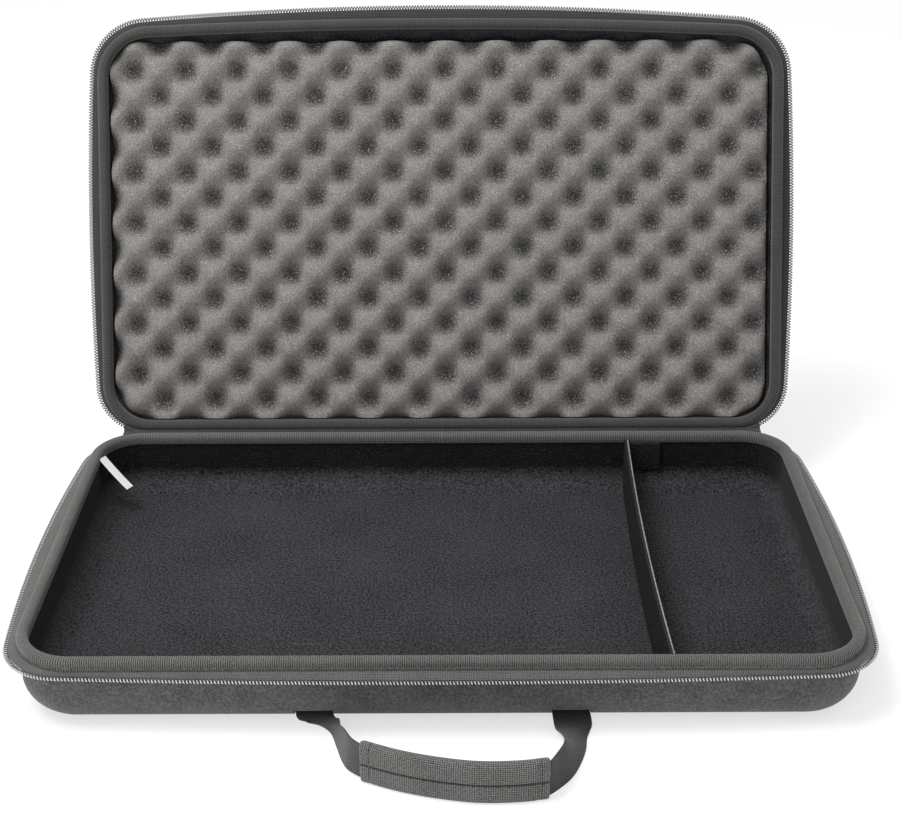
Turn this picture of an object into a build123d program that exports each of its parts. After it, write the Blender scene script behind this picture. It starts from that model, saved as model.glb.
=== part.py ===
from build123d import *
from math import cos, radians, sin
import os

os.makedirs("parts", exist_ok=True)

# Everything is in millimetres. The case lies open: the tray rests on z = 0 and the lid leans back
# on its fabric hinge. Positions inside a half are given as v, the distance from the hinge line
# towards the front, and as h, the height over that half's own rim plane (negative inside).
tray_height = 61.0
lid_height = 31.0
hinge_y = 181.5
lid_lean = 21.9

# Wall build-up, from the inside out: lining, foam board, cover. The binding folds over the edge.
lining_thick = 1.0
board_thick = 5.0
cover_thick = 1.0
binding_leg = 1.0
binding_deep = 9.0
binding_edge = 2.6
rim_gap = 0.3
wall_top = -2.2

# Rim outlines at the inner edge of the binding: half width, side bow, back, front, front bow and
# the corner radii at the back and at the front.
rim_back = 9.3
rim_front = 354.0
tray_rim = (304.3, 0.0, rim_back, rim_front, 0.0, 33.0, 38.0)
lid_rim = (300.8, 0.0, rim_back, rim_front, 8.5, 33.0, 38.0)
tray_round = 27.0
lid_round = 22.0

# Zip: the tape flares out from under the binding and carries the coil along its free edge.
tape_thick = 1.0
tape_drop = 2.7
coil_wide = 4.4
coil_high = 3.0
coil_edge = 1.0
tray_coil = (316.0, 8.0, -1.5, 364.0, 8.5, 43.0, 46.0)
lid_coil = (314.0, 6.0, -1.5, 368.0, 14.5, 43.0, 50.0)
zip_open_half = 274.0

# Fabric hinge between the two halves.
band_half = 224.0
band_thick = 1.0
band_start = 1.3
tray_band_end = 34.0
lid_band_end = 12.0

# Egg-crate foam pad in the lid.
foam_top = -3.0
foam_swing = 7.0
foam_pitch_x = 47.0
foam_pitch_v = 46.0
foam_dimple_x = -278.0
foam_dimple_v = 326.0
foam_round = 13.5
foam_left = -299.0
foam_right = 297.0
foam_back = 10.3
foam_front = 352.0
foam_cut_x = -276.0
foam_cut_v = 326.0
foam_back_corner = 33.0
foam_front_corner = 36.0
foam_cut_corner = 16.0

# Divider across the tray and its hook tapes.
divider_x = 168.0
divider_bow = 3.5
divider_board_thick = 2.0
divider_skin_thick = 0.8
flap_thick = 1.0
divider_top = -5.0
divider_corner = 21.5
hook_thick = 1.2
slide_gap = 0.3
flap_top = -10.0
flap_low = 2.0
flap_back_end = 199.0
flap_front_end = 190.0

# Carry handle: webbing sewn into recesses under the tray, and a sleeved grip lying in front.
webbing_wide = 28.0
webbing_thick = 1.6
recess_wide = 29.0
recess_deep = 2.0
recess_turn = 62.0
strap_left_x = -93.0
strap_right_x = 95.8
anchor_back = 262.0
anchor_front = tray_rim[3] + binding_leg + lining_thick + board_thick + cover_thick - tray_round
grip_high = 33.0
grip_thick = 9.0
sleeve_thick = 1.5
grip_inset = 5.0

# Zip sliders in the wedge behind the hinge, one at each end of the hinge band.
chain_wide = 8.0
chain_thick = 3.0
chain_u = 15.5
chain_gap = 4.0
chain_long = 13.0
slider_back = 2.0
slider_long = 20.0
wing_thick = 2.0
slider_low = 11.0
slider_high = 20.0
bail_pivot = 21.5
pull_long = 38.5
pull_wide = 8.4
pull_thick = 1.8

chain_start = band_half + chain_gap
chain_end = chain_start + chain_long
slider_x = chain_end - slider_back
lean = radians(lid_lean)
grow_lining = binding_leg
grow_inner = grow_lining + lining_thick
grow_outer = grow_inner + board_thick
grow_cover = grow_outer + cover_thick
grow_binding = grow_cover + binding_leg
rim_z = tray_height
tray_plane = Plane(origin=(0, hinge_y, rim_z), x_dir=(-1, 0, 0), z_dir=(0, 0, 1))
lid_plane = Plane(origin=(0, hinge_y, rim_z), x_dir=(1, 0, 0), z_dir=(0, -cos(lean), sin(lean)))
tray_up = Axis(tray_plane.origin, tray_plane.z_dir)
lid_up = Axis(lid_plane.origin, lid_plane.z_dir)


# A rim outline grown outwards by a distance.
def outline(rim, grow):
    half, side_bow, back, front, front_bow, back_radius, front_radius = rim
    w = half + grow
    b = back - grow
    f = front + grow
    mid = (b + f) / 2
    with BuildSketch() as shape:
        with BuildLine():
            Line((-w, b), (w, b))
            if side_bow > 0:
                ThreePointArc((w, b), (w + side_bow, mid), (w, f))
            else:
                Line((w, b), (w, f))
            if front_bow > 0:
                ThreePointArc((w, f), (0, f + front_bow), (-w, f))
            else:
                Line((w, f), (-w, f))
            if side_bow > 0:
                ThreePointArc((-w, f), (-w - side_bow, mid), (-w, b))
            else:
                Line((-w, f), (-w, b))
        make_face()
        fillet(shape.vertices().group_by(Axis.Y)[0], back_radius + grow)
        fillet(shape.vertices().group_by(Axis.Y)[-1], front_radius + grow)
    return shape.sketch


# A block as deep as a half, with its bottom edge rounded.
def moulded(plane, up, rim, grow, depth, radius):
    with BuildPart() as block:
        with BuildSketch(plane.offset(wall_top)):
            add(outline(rim, grow))
        extrude(amount=-(depth + wall_top))
        fillet(block.edges().group_by(up)[0], radius)
    return block.part


# The ring of the wall that the binding folds over.
def wall_ring(plane, rim):
    with BuildPart() as ring:
        with BuildSketch(plane.offset(wall_top)):
            add(outline(rim, grow_cover))
            add(outline(rim, grow_lining), mode=Mode.SUBTRACT)
        extrude(amount=-2 * binding_deep)
    return ring.part


# The flared shape between the binding's outer face and the coil's outer face.
def flare(plane, rim, coil, top):
    with BuildPart() as solid:
        with BuildSketch(plane.offset(top)):
            add(outline(rim, grow_binding))
        with BuildSketch(plane.offset(top - tape_drop)):
            add(outline(coil, coil_wide / 2))
        loft(ruled=True)
    return solid.part


# The stretch behind the hinge where the zip tape and the coil leave the case.
def back_opening(plane):
    with BuildPart() as gap:
        with BuildSketch(plane):
            with Locations((0, 0)):
                Rectangle(2 * zip_open_half, 40)
        extrude(amount=-30)
    return gap.part


# A recess for the webbing: flat under the tray, then up round the bottom edge.
def recess(x, extra):
    centre_y = hinge_y - anchor_front
    inner = tray_round - recess_deep - extra
    outer = tray_round + 4
    turn = radians(recess_turn) + extra / tray_round
    with BuildPart() as cut:
        with BuildSketch(Plane.YZ.offset(x)):
            with BuildLine():
                start = (hinge_y - anchor_back + extra, -4)
                Line(start, (start[0], recess_deep + extra))
                Line((start[0], recess_deep + extra), (centre_y, tray_round - inner))
                ThreePointArc(
                    (centre_y, tray_round - inner),
                    (centre_y - inner * sin(turn / 2), tray_round - inner * cos(turn / 2)),
                    (centre_y - inner * sin(turn), tray_round - inner * cos(turn)),
                )
                Line(
                    (centre_y - inner * sin(turn), tray_round - inner * cos(turn)),
                    (centre_y - outer * sin(turn), tray_round - outer * cos(turn)),
                )
                ThreePointArc(
                    (centre_y - outer * sin(turn), tray_round - outer * cos(turn)),
                    (centre_y - outer * sin(turn / 2), tray_round - outer * cos(turn / 2)),
                    (centre_y, tray_round - outer),
                )
                Line((centre_y, tray_round - outer), start)
            make_face()
        extrude(amount=recess_wide / 2 + extra, both=True)
    return cut.part


# Webbing through pairs of edge points, each pair one crosswise section.
def ribbon(pairs):
    mids = []
    for low, high in pairs:
        mids.append((Vector(*low) + Vector(*high)) * 0.5)
    with BuildPart() as strap:
        for i in range(len(pairs)):
            across = (Vector(*pairs[i][1]) - Vector(*pairs[i][0])).normalized()
            ahead = mids[min(i + 1, len(mids) - 1)] - mids[max(i - 1, 0)]
            along = ahead - across * ahead.dot(across)
            with BuildSketch(Plane(origin=mids[i], x_dir=across, z_dir=along)):
                Rectangle(webbing_wide, webbing_thick)
        loft(ruled=True)
    return strap.part


# One edge point of the webbing from x, v and z.
def at(x, v, z):
    return (x, hinge_y - v, z)


# A point in the wedge behind the hinge: u runs down its middle, c across it towards the lid.
wedge_half = radians(90 - lid_lean) / 2
u_dir = Vector(0, sin(wedge_half), -cos(wedge_half))
c_dir = Vector(0, cos(wedge_half), sin(wedge_half))
wedge_plane = Plane(origin=(0, hinge_y, rim_z), x_dir=(1, 0, 0), z_dir=u_dir)
wedge_out = Axis(wedge_plane.origin, u_dir)


def wedge(x, u):
    return Vector(x, hinge_y, rim_z) + u_dir * u


# Shells of the tray.
tray_a = moulded(tray_plane, tray_up, tray_rim, grow_cover, tray_height, tray_round)
tray_b = moulded(
    tray_plane, tray_up, tray_rim, grow_outer, tray_height - cover_thick, tray_round - cover_thick
)
tray_c = moulded(
    tray_plane,
    tray_up,
    tray_rim,
    grow_inner,
    tray_height - cover_thick - board_thick,
    tray_round - cover_thick - board_thick,
)
tray_d = moulded(
    tray_plane,
    tray_up,
    tray_rim,
    grow_lining,
    tray_height - cover_thick - board_thick - lining_thick,
    tray_round - cover_thick - board_thick - lining_thick,
)
floor_z = cover_thick + board_thick + lining_thick

with BuildPart() as tray_board_space:
    add(tray_b)
    add(recess(strap_left_x, cover_thick), mode=Mode.SUBTRACT)
    add(recess(strap_right_x, cover_thick), mode=Mode.SUBTRACT)

with BuildPart() as tray_cover:
    add(tray_a)
    add(recess(strap_left_x, 0), mode=Mode.SUBTRACT)
    add(recess(strap_right_x, 0), mode=Mode.SUBTRACT)
    add(tray_board_space.part, mode=Mode.SUBTRACT)
tray_cover.part.label = "tray_cover"
export_step(tray_cover.part, "parts/tray_cover.step")

with BuildPart() as tray_core:
    add(tray_board_space.part)
    add(tray_c, mode=Mode.SUBTRACT)
tray_core.part.label = "tray_core"
export_step(tray_core.part, "parts/tray_core.step")

with BuildPart() as tray_lining:
    add(tray_c)
    add(tray_d, mode=Mode.SUBTRACT)
tray_lining.part.label = "tray_lining"
export_step(tray_lining.part, "parts/tray_lining.step")

with BuildPart() as tray_binding:
    with BuildSketch(tray_plane.offset(-rim_gap)):
        add(outline(tray_rim, grow_binding))
        add(outline(tray_rim, 0), mode=Mode.SUBTRACT)
    extrude(amount=-binding_deep)
    chamfer(tray_binding.edges().group_by(tray_up)[-1], binding_edge)
    add(wall_ring(tray_plane, tray_rim), mode=Mode.SUBTRACT)
tray_binding.part.label = "tray_binding"
export_step(tray_binding.part, "parts/tray_binding.step")

tape_top = -rim_gap - binding_deep

with BuildPart() as tray_zip_tape:
    add(flare(tray_plane, tray_rim, tray_coil, tape_top))
    add(flare(tray_plane, tray_rim, tray_coil, tape_top - tape_thick), mode=Mode.SUBTRACT)
    add(tray_a, mode=Mode.SUBTRACT)
    add(back_opening(tray_plane), mode=Mode.SUBTRACT)
tray_zip_tape.part.label = "tray_zip_tape"
export_step(tray_zip_tape.part, "parts/tray_zip_tape.step")

with BuildPart() as tray_zip_coil:
    with BuildSketch(tray_plane.offset(tape_top - tape_drop)):
        add(outline(tray_coil, coil_wide / 2))
        add(outline(tray_coil, -coil_wide / 2), mode=Mode.SUBTRACT)
    extrude(amount=-coil_high)
    chamfer(tray_zip_coil.edges().group_by(tray_up)[0], coil_edge)
    chamfer(tray_zip_coil.edges().group_by(tray_up)[-1], coil_edge)
    add(back_opening(tray_plane), mode=Mode.SUBTRACT)
tray_zip_coil.part.label = "tray_zip_coil"
export_step(tray_zip_coil.part, "parts/tray_zip_coil.step")

# Each hinge band half lies over the binding first and then on the cover.
band_face = rim_back - grow_binding
wall_face = rim_back - grow_cover

with BuildPart() as tray_hinge_band:
    with BuildSketch(Plane(origin=(0, hinge_y, rim_z), x_dir=(0, -1, 0), z_dir=(-1, 0, 0))):
        with BuildLine():
            Polyline(
                (band_face, -band_start),
                (band_face - band_thick, -band_start),
                (band_face - band_thick, -tray_band_end),
                (wall_face, -tray_band_end),
                (wall_face, tape_top),
                (band_face, tape_top),
                close=True,
            )
        make_face()
    extrude(amount=band_half, both=True)
tray_hinge_band.part.label = "tray_hinge_band"
export_step(tray_hinge_band.part, "parts/tray_hinge_band.step")

# Blank tag sewn in under the tray's binding on the left.
tag_root = Vector(*at(-303.5, 41.0, rim_z - 6))
tag_tip = Vector(*at(-278.6, 53.4, rim_z - 30))
tag_wide = 12.5
tag_thick = 0.5
tag_along = (tag_tip - tag_root).normalized()
tag_over = 3.0
tag_long = (tag_tip - tag_root).length + tag_over
tag_mid = (tag_root + tag_tip) * 0.5 - tag_along * (tag_over / 2)
tag_side = Vector(0, 1, 0) - tag_along * tag_along.Y

with BuildPart() as tray_label:
    with BuildSketch(tray_plane):
        add(outline(tray_rim, 0))
    extrude(amount=-(tray_height - floor_z))
    with BuildSketch(Plane(origin=tag_mid, x_dir=tag_along, z_dir=tag_along.cross(tag_side))):
        Rectangle(tag_long, tag_wide)
    extrude(amount=tag_thick / 2, both=True, mode=Mode.INTERSECT)
tray_label.part.label = "tray_label"
export_step(tray_label.part, "parts/tray_label.step")


# Webbing lengths sewn into the recesses under the tray.
def anchor(x):
    with BuildPart() as length:
        mid_y = hinge_y - (anchor_back + anchor_front) / 2
        with BuildSketch(Plane.XY.offset(recess_deep - webbing_thick)):
            with Locations((x, mid_y)):
                Rectangle(webbing_wide, anchor_front - anchor_back - 2 * slide_gap)
        extrude(amount=webbing_thick)
    return length.part


with BuildPart() as handle_anchor_left:
    add(anchor(strap_left_x))
handle_anchor_left.part.label = "handle_anchor_left"
export_step(handle_anchor_left.part, "parts/handle_anchor_left.step")

with BuildPart() as handle_anchor_right:
    add(anchor(strap_right_x))
handle_anchor_right.part.label = "handle_anchor_right"
export_step(handle_anchor_right.part, "parts/handle_anchor_right.step")

# The handle starts a little in front of the sewn lengths. The webbing leaves flat, creases and
# then stands on its edge; its inner edges become the upper ones.
strap_v = anchor_front + slide_gap
strap_z = slide_gap / 3 + webbing_thick / 2
left_pairs = [
    (at(-107.0, strap_v, strap_z), at(-79.0, strap_v, strap_z)),
    (at(-107.2, 345.0, strap_z), at(-79.2, 346.0, strap_z)),
    (at(-104.5, 351.5, 0.9), at(-77.0, 355.0, 4.0)),
    (at(-98.3, 355.1, 0.9), at(-73.6, 364.3, 10.0)),
    (at(-88.6, 358.5, 0.9), at(-72.3, 376.0, 15.0)),
    (at(-79.5, 368.0, 0.9), at(-69.6, 386.4, 20.0)),
    (at(-73.9, 385.0, 0.9), at(-67.2, 396.8, 25.0)),
    (at(-69.5, 400.0, 1.2), at(-65.0, 405.0, 28.4)),
    (at(-64.5, 410.5, 1.6), at(-61.5, 412.0, 29.4)),
    (at(-55.0, 419.5, 2.5), at(-55.0, 419.5, 30.5)),
    (at(-50.8, 421.4, 2.5), at(-50.8, 421.4, 30.5)),
]
right_pairs = [
    (at(109.8, strap_v, strap_z), at(81.8, strap_v, strap_z)),
    (at(110.2, 346.0, strap_z), at(82.2, 346.0, strap_z)),
    (at(110.6, 356.0, 0.9), at(82.6, 358.0, 1.6)),
    (at(109.9, 362.0, 0.9), at(83.2, 368.8, 5.0)),
    (at(108.4, 366.5, 0.9), at(85.4, 379.8, 10.0)),
    (at(105.0, 375.8, 0.9), at(87.2, 390.8, 15.5)),
    (at(103.3, 388.0, 0.9), at(87.5, 400.4, 20.0)),
    (at(99.0, 402.8, 0.9), at(87.0, 408.7, 25.4)),
    (at(91.6, 419.3, 1.2), at(85.5, 417.5, 28.4)),
    (at(82.5, 431.0, 1.6), at(79.8, 429.8, 29.4)),
    (at(74.5, 439.2, 2.5), at(74.5, 439.2, 30.5)),
    (at(69.8, 440.4, 2.5), at(69.8, 440.4, 30.5)),
]

with BuildPart() as handle_strap_left:
    add(ribbon(left_pairs))
handle_strap_left.part.label = "handle_strap_left"
export_step(handle_strap_left.part, "parts/handle_strap_left.step")

with BuildPart() as handle_strap_right:
    add(ribbon(right_pairs))
handle_strap_right.part.label = "handle_strap_right"
export_step(handle_strap_right.part, "parts/handle_strap_right.step")

grip_points = [
    at(-55.0, 419.5, grip_high / 2),
    at(-28.0, 431.0, grip_high / 2),
    at(0.0, 438.9, grip_high / 2),
    at(27.0, 443.2, grip_high / 2),
    at(54.0, 442.6, grip_high / 2),
    at(74.5, 439.2, grip_high / 2),
]


# A length of the grip with a rounded section, from start to end along its line.
def grip_length(high, thick, start, end):
    with BuildPart() as length:
        with BuildLine():
            line = Spline(*grip_points)
        with BuildSketch(Plane(origin=line @ 0, x_dir=(0, 0, 1), z_dir=line % 0)) as section:
            Rectangle(high, thick)
            chamfer(section.vertices(), thick * 0.29)
        sweep(path=line)
        with BuildSketch(Plane.XY.offset(-1)):
            with Locations(((start + end) / 2, hinge_y - 430)):
                Rectangle(end - start, 60)
        extrude(amount=grip_high + 2, mode=Mode.INTERSECT)
    return length.part


core_high = grip_high - 2 * sleeve_thick
core_thick = grip_thick - 2 * sleeve_thick
with BuildPart() as grip_core:
    add(grip_length(core_high, core_thick, -55 + grip_inset, 74.5 - grip_inset))
grip_core.part.label = "grip_core"
export_step(grip_core.part, "parts/grip_core.step")

with BuildPart() as grip_sleeve:
    add(grip_length(grip_high, grip_thick, -60, 80))
    add(grip_length(core_high, core_thick, -60, 80), mode=Mode.SUBTRACT)
grip_sleeve.part.label = "grip_sleeve"
export_step(grip_sleeve.part, "parts/grip_sleeve.step")

# Shells of the lid.
lid_a = moulded(lid_plane, lid_up, lid_rim, grow_cover, lid_height, lid_round)
lid_b = moulded(
    lid_plane, lid_up, lid_rim, grow_outer, lid_height - cover_thick, lid_round - cover_thick
)
lid_c = moulded(
    lid_plane,
    lid_up,
    lid_rim,
    grow_inner,
    lid_height - cover_thick - board_thick,
    lid_round - cover_thick - board_thick,
)
lid_inside = lid_height - cover_thick - board_thick - lining_thick
lid_d = moulded(
    lid_plane,
    lid_up,
    lid_rim,
    grow_lining,
    lid_inside,
    lid_round - cover_thick - board_thick - lining_thick,
)

with BuildPart() as lid_cover:
    add(lid_a)
    add(lid_b, mode=Mode.SUBTRACT)
lid_cover.part.label = "lid_cover"
export_step(lid_cover.part, "parts/lid_cover.step")

with BuildPart() as lid_core:
    add(lid_b)
    add(lid_c, mode=Mode.SUBTRACT)
lid_core.part.label = "lid_core"
export_step(lid_core.part, "parts/lid_core.step")

with BuildPart() as lid_lining:
    add(lid_c)
    add(lid_d, mode=Mode.SUBTRACT)
lid_lining.part.label = "lid_lining"
export_step(lid_lining.part, "parts/lid_lining.step")

with BuildPart() as lid_binding:
    with BuildSketch(lid_plane.offset(-rim_gap)):
        add(outline(lid_rim, grow_binding))
        add(outline(lid_rim, 0), mode=Mode.SUBTRACT)
    extrude(amount=-binding_deep)
    chamfer(lid_binding.edges().group_by(lid_up)[-1], binding_edge)
    add(wall_ring(lid_plane, lid_rim), mode=Mode.SUBTRACT)
lid_binding.part.label = "lid_binding"
export_step(lid_binding.part, "parts/lid_binding.step")

with BuildPart() as lid_zip_tape:
    add(flare(lid_plane, lid_rim, lid_coil, tape_top))
    add(flare(lid_plane, lid_rim, lid_coil, tape_top - tape_thick), mode=Mode.SUBTRACT)
    add(lid_a, mode=Mode.SUBTRACT)
    add(back_opening(lid_plane), mode=Mode.SUBTRACT)
lid_zip_tape.part.label = "lid_zip_tape"
export_step(lid_zip_tape.part, "parts/lid_zip_tape.step")

with BuildPart() as lid_zip_coil:
    with BuildSketch(lid_plane.offset(tape_top - tape_drop)):
        add(outline(lid_coil, coil_wide / 2))
        add(outline(lid_coil, -coil_wide / 2), mode=Mode.SUBTRACT)
    extrude(amount=-coil_high)
    chamfer(lid_zip_coil.edges().group_by(lid_up)[0], coil_edge)
    chamfer(lid_zip_coil.edges().group_by(lid_up)[-1], coil_edge)
    add(back_opening(lid_plane), mode=Mode.SUBTRACT)
lid_zip_coil.part.label = "lid_zip_coil"
export_step(lid_zip_coil.part, "parts/lid_zip_coil.step")

with BuildPart() as lid_hinge_band:
    with BuildSketch(Plane(origin=(0, hinge_y, rim_z), x_dir=lid_plane.y_dir, z_dir=(1, 0, 0))):
        with BuildLine():
            Polyline(
                (band_face, -band_start),
                (band_face - band_thick, -band_start),
                (band_face - band_thick, -lid_band_end),
                (wall_face, -lid_band_end),
                (wall_face, tape_top),
                (band_face, tape_top),
                close=True,
            )
        make_face()
    extrude(amount=band_half, both=True)
lid_hinge_band.part.label = "lid_hinge_band"
export_step(lid_hinge_band.part, "parts/lid_hinge_band.step")

# The foam's surface is a field of hills and dimples that take turns, each a low pyramid on one
# tile of the half pitch, all meeting at the middle height.
tile_x = foam_pitch_x / 2
tile_v = foam_pitch_v / 2
foam_mid = foam_top - foam_swing
tiles_x = 27
tiles_v = 17
field_x = foam_dimple_x - 1.5 * tile_x
field_v = foam_dimple_v + 2.5 * tile_v - tiles_v * tile_v


def foam_field():
    xs = [field_x + i * tile_x for i in range(tiles_x + 1)]
    vs = [field_v + j * tile_v for j in range(tiles_v + 1)]
    low = -lid_inside - 5
    faces = []
    for i in range(tiles_x):
        for j in range(tiles_v):
            swing = -foam_swing if (i + j) % 2 == 1 else foam_swing
            tip = ((xs[i] + xs[i + 1]) / 2, (vs[j] + vs[j + 1]) / 2, foam_mid + swing)
            ring = [
                (xs[i], vs[j], foam_mid),
                (xs[i + 1], vs[j], foam_mid),
                (xs[i + 1], vs[j + 1], foam_mid),
                (xs[i], vs[j + 1], foam_mid),
            ]
            for k in range(4):
                faces.append(Face(Wire.make_polygon([ring[k], ring[(k + 1) % 4], tip])))
    for v in (vs[0], vs[-1]):
        edge = [(x, v, foam_mid) for x in xs]
        faces.append(Face(Wire.make_polygon(edge + [(xs[-1], v, low), (xs[0], v, low)])))
    for x in (xs[0], xs[-1]):
        edge = [(x, v, foam_mid) for v in vs]
        faces.append(Face(Wire.make_polygon(edge + [(x, vs[-1], low), (x, vs[0], low)])))
    base = [(xs[0], vs[0]), (xs[-1], vs[0]), (xs[-1], vs[-1]), (xs[0], vs[-1])]
    faces.append(Face(Wire.make_polygon([(x, v, low) for x, v in base])))
    return Solid(Shell(faces))


# The left front corner of the pad is cut off; the others are rounded to clear the lining.
with BuildPart() as lid_foam:
    with BuildSketch(lid_plane.offset(foam_top + 1)) as pad:
        with BuildLine():
            Polyline(
                (foam_left, foam_back),
                (foam_right, foam_back),
                (foam_right, foam_front),
                (foam_cut_x, foam_front),
                (foam_left, foam_cut_v),
                close=True,
            )
        make_face()
        fillet(pad.vertices().group_by(Axis.Y)[0], foam_back_corner)
        fillet(pad.vertices().sort_by(Axis.Y)[-2:].sort_by(Axis.X)[-1], foam_front_corner)
        fillet(pad.vertices().sort_by(Axis.Y)[-2:].sort_by(Axis.X)[0], foam_cut_corner)
        fillet(pad.vertices().filter_by(lambda p: abs(p.Y - foam_cut_v) < 0.1), foam_cut_corner)
    extrude(amount=-(lid_inside + foam_top + 1))
    fillet(lid_foam.edges().group_by(lid_up)[0], foam_round)
    add(lid_plane.location * foam_field(), mode=Mode.INTERSECT)
lid_foam.part.label = "lid_foam"
export_step(lid_foam.part, "parts/lid_foam.step")

# Divider: a stiff board in a fabric skin, slightly bowed in plan.
divider_back = rim_back - grow_lining + slide_gap + hook_thick
divider_front = rim_front + grow_lining - slide_gap - hook_thick
divider_low = floor_z + slide_gap


def divider_blank(half, inset):
    back_y = hinge_y - divider_back
    front_y = hinge_y - divider_front
    mid_y = (back_y + front_y) / 2
    reach = (back_y - front_y) / 2 + 3
    end_x = divider_x + divider_bow * ((reach / (reach - 3)) ** 2 - 1)
    with BuildPart() as blank:
        with BuildSketch(Plane.XY):
            with BuildLine():
                ThreePointArc(
                    (end_x - half, mid_y + reach),
                    (divider_x - divider_bow - half, mid_y),
                    (end_x - half, mid_y - reach),
                )
                Line((end_x - half, mid_y - reach), (end_x + half, mid_y - reach))
                ThreePointArc(
                    (end_x + half, mid_y - reach),
                    (divider_x - divider_bow + half, mid_y),
                    (end_x + half, mid_y + reach),
                )
                Line((end_x + half, mid_y + reach), (end_x - half, mid_y + reach))
            make_face()
        extrude(amount=tray_height)
        with BuildSketch(Plane.YZ) as side:
            with Locations((mid_y, (divider_low + rim_z + divider_top) / 2)):
                Rectangle(
                    back_y - front_y - 2 * inset, rim_z + divider_top - divider_low - 2 * inset
                )
            fillet(side.vertices().group_by(Axis.Y)[0], divider_corner - inset)
            fillet(side.vertices().group_by(Axis.Y)[-1], 3.0 - inset)
            if inset > 0:
                with Locations((mid_y, divider_low + inset)):
                    Rectangle(back_y - front_y - 2 * divider_corner - 4, 2 * inset)
        extrude(amount=400, mode=Mode.INTERSECT)
    return blank.part


with BuildPart() as divider_board:
    add(divider_blank(divider_board_thick / 2, divider_skin_thick))
divider_board.part.label = "divider_board"
export_step(divider_board.part, "parts/divider_board.step")


# A flap of the skin turned to lie along a wall, from the divider to its free end. It reaches a
# little below the place where the wall starts to round into the floor.
flap_bottom = floor_z + tray_round - cover_thick - board_thick - lining_thick - flap_low - rim_z


def flap(v_near, thick, x_start, x_end):
    with BuildPart() as piece:
        with BuildSketch(Plane.XY.offset(rim_z + flap_bottom)):
            with Locations(((x_start + x_end) / 2, hinge_y - v_near - thick / 2)):
                Rectangle(x_end - x_start, thick)
        extrude(amount=flap_top - flap_bottom)
    return piece.part


with BuildPart() as divider_skin:
    add(divider_blank(divider_board_thick / 2 + divider_skin_thick, 0))
    add(flap(divider_back, flap_thick, divider_x + 1.4, flap_back_end))
    add(flap(divider_front - flap_thick, flap_thick, divider_x + 1.4, flap_front_end))
    add(divider_board.part, mode=Mode.SUBTRACT)
divider_skin.part.label = "divider_skin"
export_step(divider_skin.part, "parts/divider_skin.step")

hook_inset = 3.0
with BuildPart() as divider_hook_back:
    add(flap(divider_back - hook_thick, hook_thick, divider_x + hook_inset, flap_back_end))
divider_hook_back.part.label = "divider_hook_back"
export_step(divider_hook_back.part, "parts/divider_hook_back.step")

with BuildPart() as divider_hook_front:
    add(flap(divider_front, hook_thick, divider_x + hook_inset, flap_front_end))
divider_hook_front.part.label = "divider_hook_front"
export_step(divider_hook_front.part, "parts/divider_hook_front.step")

# Zip ends behind the hinge. Each stays in the middle of the wedge that the open halves make:
# a short closed chain with its tape on the tray's wall, an end stop, a slider and its pull.
chain_mid = (chain_start + chain_end) / 2
chain_tape = 0.8


def chain(side):
    with BuildPart(wedge_plane) as piece:
        with Locations((side * chain_mid, 0, chain_u)):
            Box(chain_long, chain_wide, chain_thick)
        with Locations((side * chain_mid, chain_wide / 2 + 5, chain_u)):
            Box(chain_long, 10, chain_tape)
    return piece.part


def stop(side):
    with BuildPart(wedge_plane) as piece:
        with Locations((side * (chain_start - 1.25), 0, chain_u)):
            Box(2.5, chain_wide + 0.8, chain_thick + 1.2)
        fillet(piece.edges().filter_by(Axis.X), 1.0)
    return piece.part


# The slider: two wings, side walls with a slot for the tape, a post that parts the coils at the
# mouth, and a bail for the pull on its outer wing.
def slider(side):
    wall_in = chain_wide / 2 + 0.5
    mouth = side * slider_long / 2
    shut = -mouth
    wall_end = side * 3.0
    post_mid = side * 6.0
    middle = Locations((side * slider_x, 0, 0))
    with BuildPart() as piece:
        with BuildSketch(wedge_plane.offset(slider_low)):
            with Locations((side * slider_x, 0)):
                wing = Polygon(
                    (shut, -5.6), (0, -5.6), (mouth, -7), (mouth, 7), (0, 5.6), (shut, 5.6), align=None
                )
        extrude(amount=slider_high - slider_low)
        fillet(piece.edges().filter_by(wedge_out), 1.4)
        with BuildSketch(wedge_plane.offset(slider_low + wing_thick)):
            with Locations((side * slider_x, 0)):
                Rectangle(slider_long + 2, 2 * wall_in)
                with Locations(((wall_end + mouth) / 2 + side, 0)):
                    Rectangle(abs(mouth - wall_end) + 2, 20)
                with Locations((post_mid, 0)):
                    Polygon((-2, 0), (0, -1.6), (2, 0), (0, 1.6), align=None, mode=Mode.SUBTRACT)
        extrude(amount=slider_high - slider_low - 2 * wing_thick, mode=Mode.SUBTRACT)
        with BuildSketch(wedge_plane.offset(chain_u - chain_tape)):
            with Locations((side * slider_x - side * 3.75, 0)):
                Rectangle(14.5, 20)
        extrude(amount=2 * chain_tape, mode=Mode.SUBTRACT)
        with BuildSketch(Plane(origin=wedge(side * slider_x, 0), x_dir=(1, 0, 0), z_dir=c_dir)):
            with Locations((0, slider_high + 2.3)):
                RectangleRounded(12.4, 4.6, 1.8)
            with Locations((0, slider_high + 0.9)):
                Rectangle(12.4, 1.8)
            with Locations((0, slider_high + 1.5)):
                Rectangle(9.6, 3.0, mode=Mode.SUBTRACT)
        extrude(amount=1.25, both=True)
    return piece.part


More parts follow.
